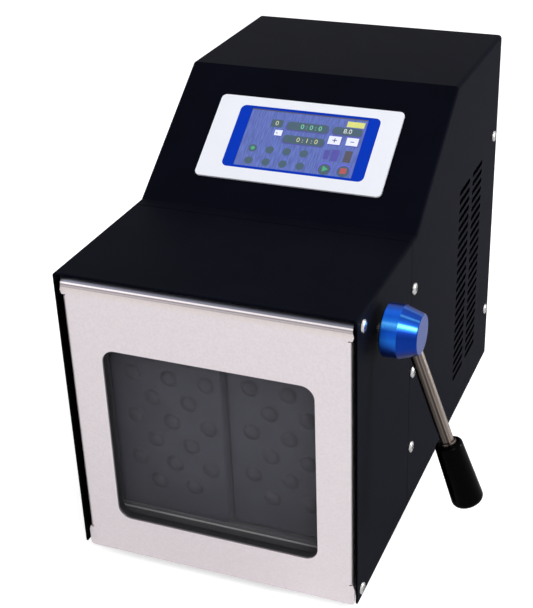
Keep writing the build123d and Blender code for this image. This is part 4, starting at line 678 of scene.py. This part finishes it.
arm_from = place(CAB_HALF + HUB_GAP + ARM_OUT, LEVER_Y, LEVER_Z)
# Painted light and dark lines along the rod, by the angle round its axis.
ROD_GLINT = (0.5, -1.0, 0.3)
rod_light_and_shade_stops = [(0.0, 0.6), (0.4, 1.1), (0.47, 1.3), (0.49, 0.25), (0.52, 0.3), (0.54, 0.8), (0.62, 0.55),
    (1.0, 0.6)]
paint_bands_round(drawn_steel, arm_from, arm_way, ROD_GLINT, rod_light_and_shade_stops)
GRIP_START, GRIP_END, GRIP_TOP_R, GRIP_FOOT_R = 87.5, 137.5, 9.7, 11.3
TOP_ROUND, FOOT_ROUND = 2.4, 4.8
grip_profile = [(0, GRIP_START + 0.6), (6.0, GRIP_START + 0.6), (6.6, GRIP_START + 0.1)]
grip_profile.append((GRIP_TOP_R - TOP_ROUND, GRIP_START))
for step in range(1, 9):
    bend = pi / 2 * step / 8
    radius, rise = GRIP_TOP_R - TOP_ROUND + TOP_ROUND * sin(bend), TOP_ROUND - TOP_ROUND * cos(bend)
    grip_profile.append((radius, GRIP_START + rise))
for step in range(0, 13):
    bend = pi / 2 * step / 12
    radius, rise = GRIP_FOOT_R - FOOT_ROUND + FOOT_ROUND * cos(bend), FOOT_ROUND * sin(bend) - FOOT_ROUND
    grip_profile.append((radius, GRIP_END + rise))
grip_profile.append((0, GRIP_END))
grip_mesh = lathe("lever_grip_moulded", grip_profile, arm_from, arm_way, turns=96)
piece_of("lever_grip_moulded", grip_mesh, gloss_black, "lever", "lever_grip", slot="grip_black")
print("hub faces", len(hub_mesh.polygons), "grip faces", len(grip_mesh.polygons))

# %% [markdown]
# ## The display
# The screen shows two time boxes, a counter, a speed box, eight lamps, three bars and five buttons. The
# words of the real screen are left out: only plain numbers and signs are drawn. Each group is a thin
# plate on the screen's face, drawn in the screen's own plane and then tilted onto the slope.

# %% The screen's plane
SLOPE_FOOT, SLOPE_TOP = 131.9, 238.0
SLOPE = atan2(BACK_HEIGHT - FRONT_HEIGHT, SLOPE_TOP - SLOPE_FOOT)
SCREEN_X, SCREEN_V, SCREEN_FACE = 2.35, 64.8, 1.3
slope_turn = Matrix.Rotation(SLOPE, 4, "X")
up_slope = slope_turn.to_3x3() @ Vector((0, SCREEN_V, SCREEN_FACE)) * MM
screen_middle = place(SCREEN_X, SLOPE_FOOT, FRONT_HEIGHT) + up_slope
screen_plane = Matrix.Translation(screen_middle) @ slope_turn


def glow(name, colour, strength=0.2):
    """A colour on the lit screen: it shines a little by itself."""
    made = finish(name, colour, 0.3, mottle=0.05, patch=4, grain=0.6, relief=0.0005)
    socket(made, "Emission Color", tuple(colour) + (1,))
    socket(made, "Emission Strength", strength)
    return made


def rounded(x0, y0, x1, y1, corner):
    """The outline of a rectangle with rounded corners, in millimetres."""
    left, low, right, high = x0 + corner, y0 + corner, x1 - corner, y1 - corner
    points = []
    for start, (cx, cy) in enumerate(((right, high), (left, high), (left, low), (right, low))):
        for step in range(7):
            angle = pi / 2 * (start + step / 6)
            points.append((cx + corner * cos(angle), cy + corner * sin(angle)))
    return points


def disc(x, y, radius, steps=40):
    """The outline of a disc, in millimetres."""
    return [(x + radius * cos(2 * pi * i / steps), y + radius * sin(2 * pi * i / steps)) for i in range(steps)]


def outline_of(shape):
    """A rounded rectangle from five numbers, a disc from three, or else the corners themselves."""
    if isinstance(shape[0], tuple):
        return shape
    return rounded(*shape) if len(shape) == 5 else disc(*shape)


UNDER, LEVEL, OVER, ON_TOP = (0.0, 0.015), (0.02, 0.06), (0.06, 0.09), (0.09, 0.12)


def print_on_screen(name, shapes, material, low=LEVEL[0], high=LEVEL[1]):
    """Thin plates of the given shapes, on the screen's face between two heights."""
    drawn = bmesh.new()
    for shape in shapes:
        top = drawn.faces.new([drawn.verts.new((x * MM, y * MM, low * MM)) for x, y in outline_of(shape)])
        lifted = bmesh.ops.extrude_face_region(drawn, geom=[top])
        verts = [part for part in lifted["geom"] if isinstance(part, bmesh.types.BMVert)]
        bmesh.ops.translate(drawn, verts=verts, vec=(0, 0, (high - low) * MM))
    bmesh.ops.recalc_face_normals(drawn, faces=drawn.faces)
    mesh = bpy.data.meshes.new(name)
    drawn.to_mesh(mesh)
    drawn.free()
    mesh.transform(screen_plane)
    return piece_of(name, mesh, material, "cabinet", slot="screen")


slate = glow("screen_slate", (0.035, 0.075, 0.11), 0.3)
button_white = glow("screen_white", (0.62, 0.64, 0.86), 0.35)
violet = glow("screen_violet", (0.06, 0.055, 0.3), 0.2)
brown_grey = glow("screen_brown_grey", (0.06, 0.055, 0.08), 0.2)
tag_yellow = glow("screen_yellow", (0.55, 0.56, 0.16), 0.3)
digit_green = glow("screen_green", (0.14, 0.5, 0.3), 0.4)
digit_yellow = glow("screen_pale_yellow", (0.5, 0.5, 0.25), 0.35)
digit_white = glow("screen_pale", (0.55, 0.57, 0.53), 0.4)
stop_red = glow("screen_red", (0.36, 0.06, 0.07), 0.25)
sign_green = glow("screen_sign_green", (0.05, 0.3, 0.14), 0.3)
rim_violet = glow("screen_rim_violet", (0.1, 0.09, 0.55), 0.25)
boxes = [(-28.2, 11.0, -18.6, 17.9, 1.2), (-15.0, 10.1, 18.3, 17.5, 2.6), (-15.0, -1.9, 18.1, 5.3, 2.6)]
print_on_screen("value_boxes", boxes + [(21.7, 10.5, 44.8, 17.3, 2.6)], slate)
rims = [(-15.5, 9.3, 18.9, 16.0, 2.6), (-15.5, -2.7, 18.7, 4.0, 2.6), (21.3, 9.7, 45.3, 16.0, 2.6)]
print_on_screen("value_box_rims", rims, violet, *UNDER)
buttons = [(20.6, 1.5, 30.3, 8.7, 0.3), (34.7, 1.9, 43.9, 8.8, 0.3), (-23.0, 3.8, -17.0, 8.8, 0.3)]
print_on_screen("step_buttons", buttons, button_white)
shades = [(21.2, 0.7, 31.0, 8.0, 0.3), (35.3, 1.1, 44.6, 8.0, 0.3), (-22.5, 3.2, -16.4, 8.0, 0.3)]
print_on_screen("button_shades", shades, violet, *UNDER)
print_on_screen("yellow_tag", [(31.3, 18.1, 45.0, 23.1, 0.3)], tag_yellow)
print_on_screen("violet_bars", [(20.5, -12.1, 24.7, -3.9, 0.2), (26.3, -13.1, 32.3, -2.9, 0.2)], violet)
# A dark strip along the screen's top edge is a painted shadow, the shade of the recess that the screen sits in.
print_on_screen("glass_edge", [(-46.8, 25.1, 46.8, 25.9, 0.1)], brown_grey, 0.0, 0.1)
print_on_screen("grey_bar", [(36.5, -12.9, 42.3, -2.8, 0.2)], brown_grey)
print_on_screen("round_rims", [(24.7, -20.3, 5.6), (39.3, -20.2, 5.6)], rim_violet)
print_on_screen("round_buttons", [(24.7, -21.0, 4.9), (39.3, -20.9, 4.9)], slate, *OVER)
print_on_screen("play_sign", [((23.0, -17.9), (23.0, -23.1), (27.6, -20.5))], sign_green, *ON_TOP)
print_on_screen("stop_sign", [(36.9, -22.9, 41.7, -18.1, 0.3)], stop_red, *ON_TOP)
signs = [(23.6, 4.8, 27.4, 5.5, 0.1), (25.15, 3.2, 25.85, 7.0, 0.1), (37.8, 4.9, 40.9, 5.6, 0.1)]
print_on_screen("plus_and_minus", signs + [(-21.8, 5.6, -20.6, 6.4, 0.1)], brown_grey, *OVER)
print("screen middle", tuple(round(v, 4) for v in screen_middle))

# %% [markdown]
# ## Lamps and numbers
# Eight round lamps stand in two rows. One flat disc is put on eight points by the same tree as the screws,
# and the first lamp has a green middle. Numbers are text objects, made a mesh before they are placed.

# %% Lamps
LAMP_X, LAMP_V = (-36.0, -22.2, -8.5, 5.2), (-9.6, -20.7)
lamp_form = lathe("lamp_form", [(0, 0), (3.3, 0), (3.3, 0.03), (3.0, 0.05), (0, 0.05)], turns=32)
slope_out = slope_turn.to_3x3() @ Vector((0, 0, 1))
lamp_spots = [(screen_plane @ Vector((x * MM, v * MM, 0.02 * MM)), slope_out) for v in LAMP_V for x in LAMP_X]
lamps = scatter("screen_lamps", lamp_form, lamp_spots, slate)
settle(lamps, slate, "cabinet", slot="screen")
print_on_screen("lit_lamp", [(LAMP_X[0], LAMP_V[0], 1.6)], sign_green, 0.07, 0.1)

# %% Numbers
def number(name, words, x, v, size, material):
    """Plain digits on the screen, centred on a point."""
    curve = bpy.data.curves.new(name, "FONT")
    curve.body = words
    curve.size = size * MM
    curve.extrude = 0.015 * MM
    curve.align_x = "CENTER"
    curve.align_y = "CENTER"
    written = put_in_scene(name, curve)
    mesh = final_mesh(written)
    bpy.data.objects.remove(written)
    mesh.transform(screen_plane @ Matrix.Translation((x * MM, v * MM, 0.09 * MM)))
    return piece_of(name, mesh, material, "cabinet", slot="screen")


number("counter_number", "0", -23.4, 14.5, 5.6, digit_yellow)
number("running_time", "0 : 0 : 0", 4.5, 13.7, 5.6, digit_green)
number("set_time", "0 : 1 : 0", 4.5, 1.7, 5.6, digit_yellow)
number("speed_number", "8.0", 33.5, 13.9, 5.6, digit_white)
print("numbers", 4)

# %% [markdown]
# ## The paddles
# Each paddle is a cast plate with blunt domes that squeeze the bag. The domes run softly into the plate, so
# the plate starts as a flat slab with a fine grid on its front, and a geometry tree lifts every point that
# is near a dome's middle. The lift is that of a blunt cap over the distance, whose sizes are inputs of the
# tree. The tree keeps that distance on the points, and the finish darkens the domes' flanks by it: this
# shade is painted and doesn't follow the lamps.

# %% The tree that raises domes
DOME_FALL, DOME_BLUNT = 2.0, 0.8
dome_tree, given, result = new_tree("raise_domes", Middles="Object", Radius="Float", Height="Float",
    Finish="Material")
middles = add_node(dome_tree, "GeometryNodeObjectInfo", {"Object": given["Middles"]})
nearest = add_node(dome_tree, "GeometryNodeProximity", {0: middles.outputs["Geometry"]},
    target_element="POINTS")
reach = {"Value": nearest.outputs["Distance"], "From Max": given["Radius"]}
away = add_node(dome_tree, "ShaderNodeMapRange", reach).outputs["Result"]
under = maths(dome_tree, "SUBTRACT", 1.0, maths(dome_tree, "POWER", away, DOME_FALL))
lift = maths(dome_tree, "MULTIPLY", maths(dome_tree, "POWER", under, DOME_BLUNT), given["Height"])
facing = add_node(dome_tree, "GeometryNodeInputNamedAttribute", {"Name": "front"}, data_type="FLOAT")
share = maths(dome_tree, "MULTIPLY", lift, facing.outputs["Attribute"])
push = add_node(dome_tree, "ShaderNodeCombineXYZ", {"Y": maths(dome_tree, "MULTIPLY", share, -1.0)})
moved = {"Geometry": given["Geometry"], "Offset": push.outputs["Vector"]}
raised = add_node(dome_tree, "GeometryNodeSetPosition", moved)
noted = {"Name": "flank", "Geometry": raised.outputs["Geometry"], "Value": away}
kept = add_node(dome_tree, "GeometryNodeStoreNamedAttribute", noted, data_type="FLOAT", domain="POINT")
close_tree(dome_tree, kept.outputs["Geometry"], given, result)


def shade_flanks(material, stops):
    """Multiplies a finish by a ramp over the distance from the dome's middle, kept on the plate's points."""
    flank = add_node(material.node_tree, "ShaderNodeAttribute", attribute_name="flank")
    recolour(material, colour_ramp(material.node_tree, flank.outputs["Fac"], stops))


domed_grey = finish("domed_grey", (0.098, 0.095, 0.14), 0.42, mottle=0.14, patch=24, grain=1.5, relief=0.004)
shade_flanks(domed_grey, [(0.0, 0.9), (0.7, 0.74), (0.86, 0.46), (0.95, 0.42), (1.0, 1.0)])

# %% Plates with domes
PADDLE_MEET, PADDLE_GAP, PADDLE_OUT = -3.8, 1.6, 93.0
PADDLE_FOOT, PADDLE_THICK, PADDLE_CORNER, PADDLE_EDGE = 16.0, 10.0, 4.0, 1.2
PADDLE_TOP = FRONT_HEIGHT - 56.5
PADDLE_FACE, PADDLE_LAG = 38.25, 3.25
DOME_R, DOME_H, DOME_ACROSS, DOME_UP, DOME_LOWEST = 6.7, 3.0, 29.0, 18.4, 44.4
DOME_FIRST = {"left": 11.8, "right": 17.8}
GRID_STEP, DOME_MARGIN = 0.8, 6.4


def dome_middles(side, sign, inner, face):
    """Points at the middles of a paddle's domes: rows of two and three, set off by half a pitch."""
    spots = []
    rows = 1 + int((PADDLE_TOP - DOME_LOWEST - DOME_MARGIN) / DOME_UP)
    for row in range(rows):
        between = 0.5 if row % 2 == 0 else 0.0
        for column in range(2 if between else 3):
            x = inner + sign * (DOME_FIRST[side] + (column + between) * DOME_ACROSS)
            spots.append(place(x, face, DOME_LOWEST + row * DOME_UP))
    base = mesh_of("dome_middles_" + side, spots)
    return bpy.data.objects.new(base.name, base)


def plate_point(u, v, half_w, half_h, inset):
    """A point of a plate with round corners, from a square grid that runs from -1 to 1 both ways."""
    x, z = u * half_w, v * half_h
    dx, dz = abs(x) - (half_w - PADDLE_CORNER), abs(z) - (half_h - PADDLE_CORNER)
    if dx > 0 and dz > 0:
        pull = max(dx, dz) / (dx * dx + dz * dz) ** 0.5
        x = (half_w - PADDLE_CORNER + dx * pull) * (1 if u > 0 else -1)
        z = (half_h - PADDLE_CORNER + dz * pull) * (1 if v > 0 else -1)
    return x * (1 - inset / half_w), z * (1 - inset / half_h)


def domed_plate(side, sign):
    """One paddle: a slab with a fine grid in front, an eased edge and a plain back."""
    inner = PADDLE_MEET + sign * PADDLE_GAP / 2
    outer = sign * PADDLE_OUT
    face = PADDLE_FACE + sign * PADDLE_LAG
    half_w, half_h = abs(outer - inner) / 2, (PADDLE_TOP - PADDLE_FOOT) / 2
    mid_x, mid_z = (inner + outer) / 2, (PADDLE_TOP + PADDLE_FOOT) / 2
    across, upward = int(2 * half_w / GRID_STEP), int(2 * half_h / GRID_STEP)
    verts, front = [], []
    layers = ((0.0, PADDLE_EDGE), (PADDLE_EDGE * 0.3, PADDLE_EDGE * 0.3), (PADDLE_EDGE, 0.0),
        (PADDLE_THICK, 0.0))
    for layer, (y, inset) in enumerate(layers):
        for j in range(upward + 1):
            for i in range(across + 1):
                rim = i in (0, across) or j in (0, upward)
                if layer == 0 or rim:
                    x, z = plate_point(2 * i / across - 1, 2 * j / upward - 1, half_w, half_h, inset)
                    verts.append((layer, i, j, place(mid_x + x, face + y, mid_z + z)))
                    front.append(1.0 if layer == 0 and not rim else 0.0)
    index = {(layer, i, j): n for n, (layer, i, j, spot) in enumerate(verts)}
    faces = []
    for j in range(upward):
        for i in range(across):
            faces.append([index[0, i, j], index[0, i + 1, j], index[0, i + 1, j + 1], index[0, i, j + 1]])
    loop = [(i, 0) for i in range(across)] + [(across, j) for j in range(upward)]
    loop += [(i, upward) for i in range(across, 0, -1)] + [(0, j) for j in range(upward, 0, -1)]
    for (a, b), (c, d) in zip(loop, loop[1:] + loop[:1]):
        for layer in range(3):
            faces.append([index[layer, a, b], index[layer + 1, a, b], index[layer + 1, c, d],
                index[layer, c, d]])
    faces.append([index[3, a, b] for a, b in reversed(loop)])
    base = mesh_of("domed_plate_" + side, [spot for layer, i, j, spot in verts], faces=faces)
    weights = base.attributes.new("front", "FLOAT", "POINT")
    weights.data.foreach_set("value", front)
    centres = dome_middles(side, sign, inner, face)
    sizes = {"Middles": centres, "Radius": DOME_R * MM, "Height": DOME_H * MM, "Finish": domed_grey}
    plate = grow("domed_plate_" + side, dome_tree, base, sizes)
    bpy.data.objects.remove(centres)
    close_seams(plate.data)
    smooth(plate.data, 50)
    return settle(plate, domed_grey, "paddle_" + side, "paddle_" + side, slot="paddle_grey")


for side, sign in (("left", -1), ("right", 1)):
    made = domed_plate(side, sign)
    print(made.name, "faces", len(made.data.polygons))

# %% [markdown]
# ## The chamber's lip
# Below the door's window the chamber ends in a lip. The thin light line that shows along it through the pane is
# a
# painted highlight: a strip on the lip's real edge, coloured near white. One short profile with an eased top is
# drawn along the lip.

# %% Painted highlight strip on the lip
LIP_TOP, LIP_HALF, LIP_THICK = 22.2, 93.6, 0.8
lip_front = (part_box("chamber_liner")[0][1] - DRAWING_ZERO.y) / MM
lip_profile = [(0.0, -1.3), (-LIP_THICK, -0.6), (-LIP_THICK, 0.0), (0.3 - LIP_THICK, 0.4), (0.0, 0.6)]
lip_verts = [place(x, lip_front + 0.1 + y, LIP_TOP + z) for x in (-LIP_HALF, LIP_HALF) for y, z in lip_profile]
corners = len(lip_profile)
lip_faces = [[i, (i + 1) % corners, corners + (i + 1) % corners, corners + i] for i in range(corners)]
lip_faces += [list(range(corners))[::-1], list(range(corners, 2 * corners))]
lip_mesh = mesh_of("chamber_lip_edge", lip_verts, faces=lip_faces)
close_seams(lip_mesh)
# The strip along the lip's edge is coloured near white as a painted highlight.
bright_edge = finish("bright_edge", (0.92, 0.88, 0.87), 0.35, metal=0.1, mottle=0.05, patch=3, grain=0.3,
    relief=0.003)
piece_of("chamber_lip_edge", lip_mesh, bright_edge, "cabinet", slot="stainless")
print("lip at", round(lip_front, 2), "mm")

# %% [markdown]
# ## Door pivots and guard screws
# The door swings on two pins whose heads look like the cover screws. A pin is the same head with a collar
# and a shank behind it, so its profile is longer. The small screws of the fan guard reuse the pan head.

# %% Pivot pins and guard screws
PIVOT_Y, PIVOT_Z, PIN_R, PIN_LONG, COLLAR_R = 9.0, 7.4, 2.5, 7.0, 4.0
pin_profile = [(0, -PIN_LONG), (PIN_R - 0.4, -PIN_LONG), (PIN_R, 0.4 - PIN_LONG), (PIN_R, -3.7),
    (COLLAR_R, -3.7), (COLLAR_R, -1.6), (PIN_R, -1.6)]
pin_profile += [(PIN_R, 0)] + head_profile[3:]
pin_form = carve(lathe("pivot_pin", pin_profile, turns=40), cuts)
pin_spots = [(place(s * CAB_HALF, PIVOT_Y, PIVOT_Z), (s, 0, 0.0)) for s in (-1, 1)]
pins = scatter("pivot_pins_turned", pin_form, pin_spots, plated_steel)
settle(pins, plated_steel, "cabinet", "pivot_pins", slot="bright_steel")

FAN_X, FAN_Z, FAN_PITCH, PANEL_OUT, WIRE = 0.0, 205.0, 71.5, CAB_DEPTH - 2.0, 1.6
corner_spots = [(FAN_X + a * FAN_PITCH / 2, FAN_Z + b * FAN_PITCH / 2) for a in (-1, 1) for b in (-1, 1)]
guard_spots = [(place(x, PANEL_OUT + WIRE, z), (0, 1, 0.0)) for x, z in corner_spots]
guard_heads = scatter("guard_pan_heads", pan_head, guard_spots, plated_steel)
settle(guard_heads, plated_steel, "cabinet", "guard_screws", slot="screw_steel")
print("pins", len(pin_spots), "guard screws", len(guard_spots))

# %% [markdown]
# ## The fan guard
# The guard is bent and welded from round wire. Its rings, arms and eyes are drawn as bare edges, and a
# geometry tree turns every edge path into a wire of one thickness, so the whole guard has one size to set.

# %% The tree that makes wire
WIRE_SIDES = 10
wire_tree, given, result = new_tree("edges_to_wire", Thickness="Float", Finish="Material")
paths = add_node(wire_tree, "GeometryNodeMeshToCurve", {0: given["Geometry"]})
half = maths(wire_tree, "MULTIPLY", given["Thickness"], 0.5)
section = add_node(wire_tree, "GeometryNodeCurvePrimitiveCircle", {"Resolution": WIRE_SIDES, "Radius": half})
along = {"Curve": paths.outputs[0], "Profile Curve": section.outputs["Curve"], "Fill Caps": True}
swept = add_node(wire_tree, "GeometryNodeCurveToMesh", along)
close_tree(wire_tree, swept.outputs["Mesh"], given, result)


def wire_form(name, loops, rods, thickness, material):
    """Wire along closed loops and open rods, given as lists of places."""
    verts, edges = [], []
    for path, closed in [(loop, True) for loop in loops] + [(rod, False) for rod in rods]:
        start = len(verts)
        verts += [tuple(spot) for spot in path]
        edges += [(start + i, start + i + 1) for i in range(len(path) - 1)]
        if closed:
            edges.append((start + len(path) - 1, start))
    made = grow(name, wire_tree, mesh_of(name, verts, edges), {"Thickness": thickness * MM, "Finish": material})
    made.data.shade_smooth()
    return made

# %% Rings, arms and eyes
FAN_BORE, GUARD_RINGS, EYE_R = 38.0, 6, 3.2
wire_y = PANEL_OUT + WIRE / 2


def circle_at(x, z, radius, steps):
    """Places round a circle on the rear panel."""
    angles = [2 * pi * i / steps for i in range(steps)]
    return [place(x + radius * cos(a), wire_y, z + radius * sin(a)) for a in angles]


ring_step = (FAN_BORE - WIRE) / GUARD_RINGS
guard_loops = [circle_at(FAN_X, FAN_Z, FAN_BORE + WIRE / 2 - ring * ring_step,
    72) for ring in range(GUARD_RINGS)]
guard_loops += [circle_at(x, z, EYE_R, 20) for x, z in corner_spots]
guard_rods = []
for x, z in corner_spots:
    way = Vector((x - FAN_X, 0, z - FAN_Z)).normalized()
    reach = FAN_PITCH / 2**0.5 - EYE_R
    guard_rods.append([place(FAN_X + way.x * r, wire_y, FAN_Z + way.z * r) for r in (1.0, reach / 2, reach)])
guard = wire_form("fan_guard_wire", guard_loops, guard_rods, WIRE, plated_steel)
settle(guard, plated_steel, "cabinet", "fan_guard", slot="bright_steel")
print("guard faces", len(guard.data.polygons))

# %% [markdown]
# ## The fan's rotor
# A moulded fan has a cup-shaped hub and seven thin blades that are bent across and twisted outwards. One
# blade is a small grid with the bend and the twist worked in, given a thickness, and the tree for points
# puts seven of them round the hub, each with its own turn about the fan's axis.

# %% Hub and blades
rotor_low, rotor_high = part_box("fan_rotor")
rotor_mid = (Vector(rotor_low) + Vector(rotor_high)) / 2
ROTOR_DEEP = (rotor_high[1] - rotor_low[1]) / MM
HUB_FAN_R, BLADE_OUT, BLADE_CHORD, BLADE_THICK, BLADES = 16.0, 37.0, 16.0, 1.2, 7
cup = [(0, 0.4), (HUB_FAN_R - 2.2, 0.4), (HUB_FAN_R - 1.6, 0.0), (HUB_FAN_R, 1.4),
    (HUB_FAN_R, ROTOR_DEEP - 0.4), (HUB_FAN_R - 0.4, ROTOR_DEEP)]
cup += [(HUB_FAN_R - 2, ROTOR_DEEP), (HUB_FAN_R - 2, ROTOR_DEEP * 0.3), (0, ROTOR_DEEP * 0.3)]
cup_mesh = lathe("fan_hub_cup", cup, (rotor_mid.x, rotor_high[1], rotor_mid.z), (0, -1, 0), turns=64)
fan_plastic = finish("fan_plastic", (0.02, 0.02, 0.022), 0.38, mottle=0.12, patch=10, grain=0.9, relief=0.01)
piece_of("fan_hub_cup", cup_mesh, fan_plastic, "fan_rotor", "fan_rotor", slot="black_plastic")

blade = bmesh.new()
ACROSS, ALONG = 8, 9
ROOT_PITCH, PITCH_FALL, CAMBER, ROOT_CHORD, BLADE_SUNK = 52, 20, 1.6, 0.86, 0.6
blade_grid = []
for i in range(ALONG + 1):
    out = HUB_FAN_R - BLADE_SUNK + (BLADE_OUT - HUB_FAN_R + BLADE_SUNK) * i / ALONG
    pitch = radians(ROOT_PITCH - PITCH_FALL * i / ALONG)
    chord = BLADE_CHORD * (ROOT_CHORD + (1 - ROOT_CHORD) * i / ALONG)
    row = []
    for j in range(ACROSS + 1):
        s = j / ACROSS - 0.5
        camber = CAMBER * (1 - 4 * s * s)
        angle = (s * chord * cos(pitch) - camber * sin(pitch)) / out
        depth = s * chord * sin(pitch) + camber * cos(pitch)
        row.append(blade.verts.new((out * cos(angle) * MM, depth * MM, out * sin(angle) * MM)))
    blade_grid.append(row)
for i in range(ALONG):
    for j in range(ACROSS):
        blade.faces.new([blade_grid[i][j], blade_grid[i + 1][j], blade_grid[i + 1][j + 1],
            blade_grid[i][j + 1]])
bmesh.ops.recalc_face_normals(blade, faces=blade.faces)
bmesh.ops.solidify(blade, geom=blade.faces[:], thickness=BLADE_THICK * MM)
bmesh.ops.recalc_face_normals(blade, faces=blade.faces)
blade_mesh = bpy.data.meshes.new("fan_blade")
blade.to_mesh(blade_mesh)
blade.free()
smooth(blade_mesh, 45)
blade_spots = [(rotor_mid, Euler((0, 2 * pi * i / BLADES, 0))) for i in range(BLADES)]
blades = scatter("fan_blades_twisted", blade_mesh, blade_spots, fan_plastic)
settle(blades, fan_plastic, "fan_rotor", slot="black_plastic")
print("blade faces", len(blades.data.polygons))

# %% [markdown]
# ## Feet
# The rubber feet are turned too: a taper with three shallow grooves and a well for the screw below.

# %% Grooved feet
FOOT_TALL, FOOT_R, FOOT_TAPER, FOOT_WELL_R, FOOT_WELL = 16.0, 14.0, 2.0, 6.0, 6.0
foot_profile = [(0, FOOT_TALL), (FOOT_R - 0.5, FOOT_TALL), (FOOT_R, FOOT_TALL - 0.5)]
for groove in (12.2, 8.6, 5.0):
    side = FOOT_R - FOOT_TAPER * (1 - groove / FOOT_TALL)
    foot_profile += [(side, groove + 0.9), (side - 0.7, groove + 0.45), (side - 0.7, groove - 0.45),
        (side, groove - 0.9)]
foot_profile += [(FOOT_R - FOOT_TAPER + 0.1, 1.0), (FOOT_R - FOOT_TAPER - 0.7, 0), (FOOT_WELL_R + 0.5, 0),
    (FOOT_WELL_R, 0.5)]
foot_profile += [(FOOT_WELL_R, FOOT_WELL), (0, FOOT_WELL)]
foot_form = lathe("foot_form", foot_profile, turns=56)
foot_spots = [(place(s * 80.0, y, -FOOT_TALL), (0, 0, 1.0)) for s in (-1, 1) for y in (46.0, CAB_DEPTH - 38.6)]
settle(scatter("feet_grooved", foot_form, foot_spots, rubber), rubber, "cabinet", "feet", slot="foot_rubber")
print("feet", len(foot_spots))

# %% [markdown]
# ## Eased edges at the back
# Moulded plastic has no knife edges. The fittings of the rear panel keep their CAD forms, but a copy of
# each is merged, cleaned of its flat triangles and given a narrow bevel, so that every edge catches light.

# %% Bevelled copies of CAD pieces


def eased(name, node, width, material, body, slot):
    """A copy of a CAD node with narrow bevels on its sharp edges, shown in its stead."""
    copied = bmesh.new()
    copied.from_mesh(NODES[node].data)
    bmesh.ops.remove_doubles(copied, verts=copied.verts, dist=0.001 * MM)
    bmesh.ops.dissolve_limit(copied, angle_limit=radians(1.0), verts=copied.verts, edges=copied.edges)
    mesh = bpy.data.meshes.new(name)
    copied.to_mesh(mesh)
    copied.free()
    mesh.transform(NODES[node].matrix_world)
    piece = put_in_scene(name, mesh)
    edge = piece.modifiers.new("edge", "BEVEL")
    edge.width, edge.segments = width * MM, 2
    edge.limit_method, edge.angle_limit = "ANGLE", radians(40)
    bevelled = final_mesh(piece)
    piece.modifiers.clear()
    piece.data = bevelled
    smooth(bevelled, 30)
    return settle(piece, material, body, node, slot=slot)


for node, width, body in (
    ("fan_frame", 0.5, "cabinet"),
    ("power_inlet", 0.4, "cabinet"),
    ("fuse_holder", 0.3, "cabinet"),
    ("switch_housing", 0.4, "cabinet"),
    ("switch_rocker", 0.4, "rocker"),
    ("door_frame", 0.4, "door"),
):
    made = eased(node + "_eased", node, width, matt_black, body, "black_plastic")
    print(made.name, "faces", len(made.data.polygons))

# %% [markdown]
# ## Signs on the rocker
# A bar and a ring, the plain signs for on and off, are moulded on the two halves of the rocker. They are
# thin white forms that lie on its sloping faces and tilt with it.

# %% Bar and ring
housing_low, housing_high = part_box("switch_housing")
SWITCH_X, RIDGE_Y = 34.0, PANEL_OUT + 2.0
SERVICE_Z = ((housing_low[2] + housing_high[2]) / 2 - DRAWING_ZERO.z) / MM
ON_HALF, OFF_HALF = (3.6, 10.5, 5.6), (2.0, 11.5, -5.8)
SIGN_RIM, SIGN_TOP, BAR_STRETCH = 0.12, 0.18, 5.0
white_paint = finish("white_paint", (0.8, 0.8, 0.8), 0.5, mottle=0.03, patch=4, grain=0.5, relief=0.004)


def on_rocker(mesh, rise, run, up):
    """Turns a flat sign, drawn face up, onto the half of the rocker whose face climbs by rise over run."""
    climb, left = Vector((0, rise, run)).normalized(), Vector((-1, 0, 0))
    spot = place(SWITCH_X, RIDGE_Y, SERVICE_Z) + climb * up * MM
    turn = Matrix((left, climb, left.cross(climb))).transposed().to_4x4()
    mesh.transform(Matrix.Translation(spot) @ turn)
    return mesh


bar = lathe("bar_form", [(0, 0), (0.6, 0), (0.6, SIGN_RIM), (0.5, SIGN_TOP), (0, SIGN_TOP)], turns=24)
bar.transform(Matrix.Diagonal((1, BAR_STRETCH, 1, 1)))
piece_of("on_bar", on_rocker(bar, *ON_HALF), white_paint, "rocker", slot="black_plastic")
ring_profile = [(1.7, 0), (2.4, 0), (2.4, SIGN_RIM), (2.3, SIGN_TOP), (1.8, SIGN_TOP), (1.7, SIGN_RIM),
    (1.7, 0)]
ring = lathe("ring_form", ring_profile, turns=40)
piece_of("off_ring", on_rocker(ring, *OFF_HALF), white_paint, "rocker", slot="black_plastic")
print("signs", 2)
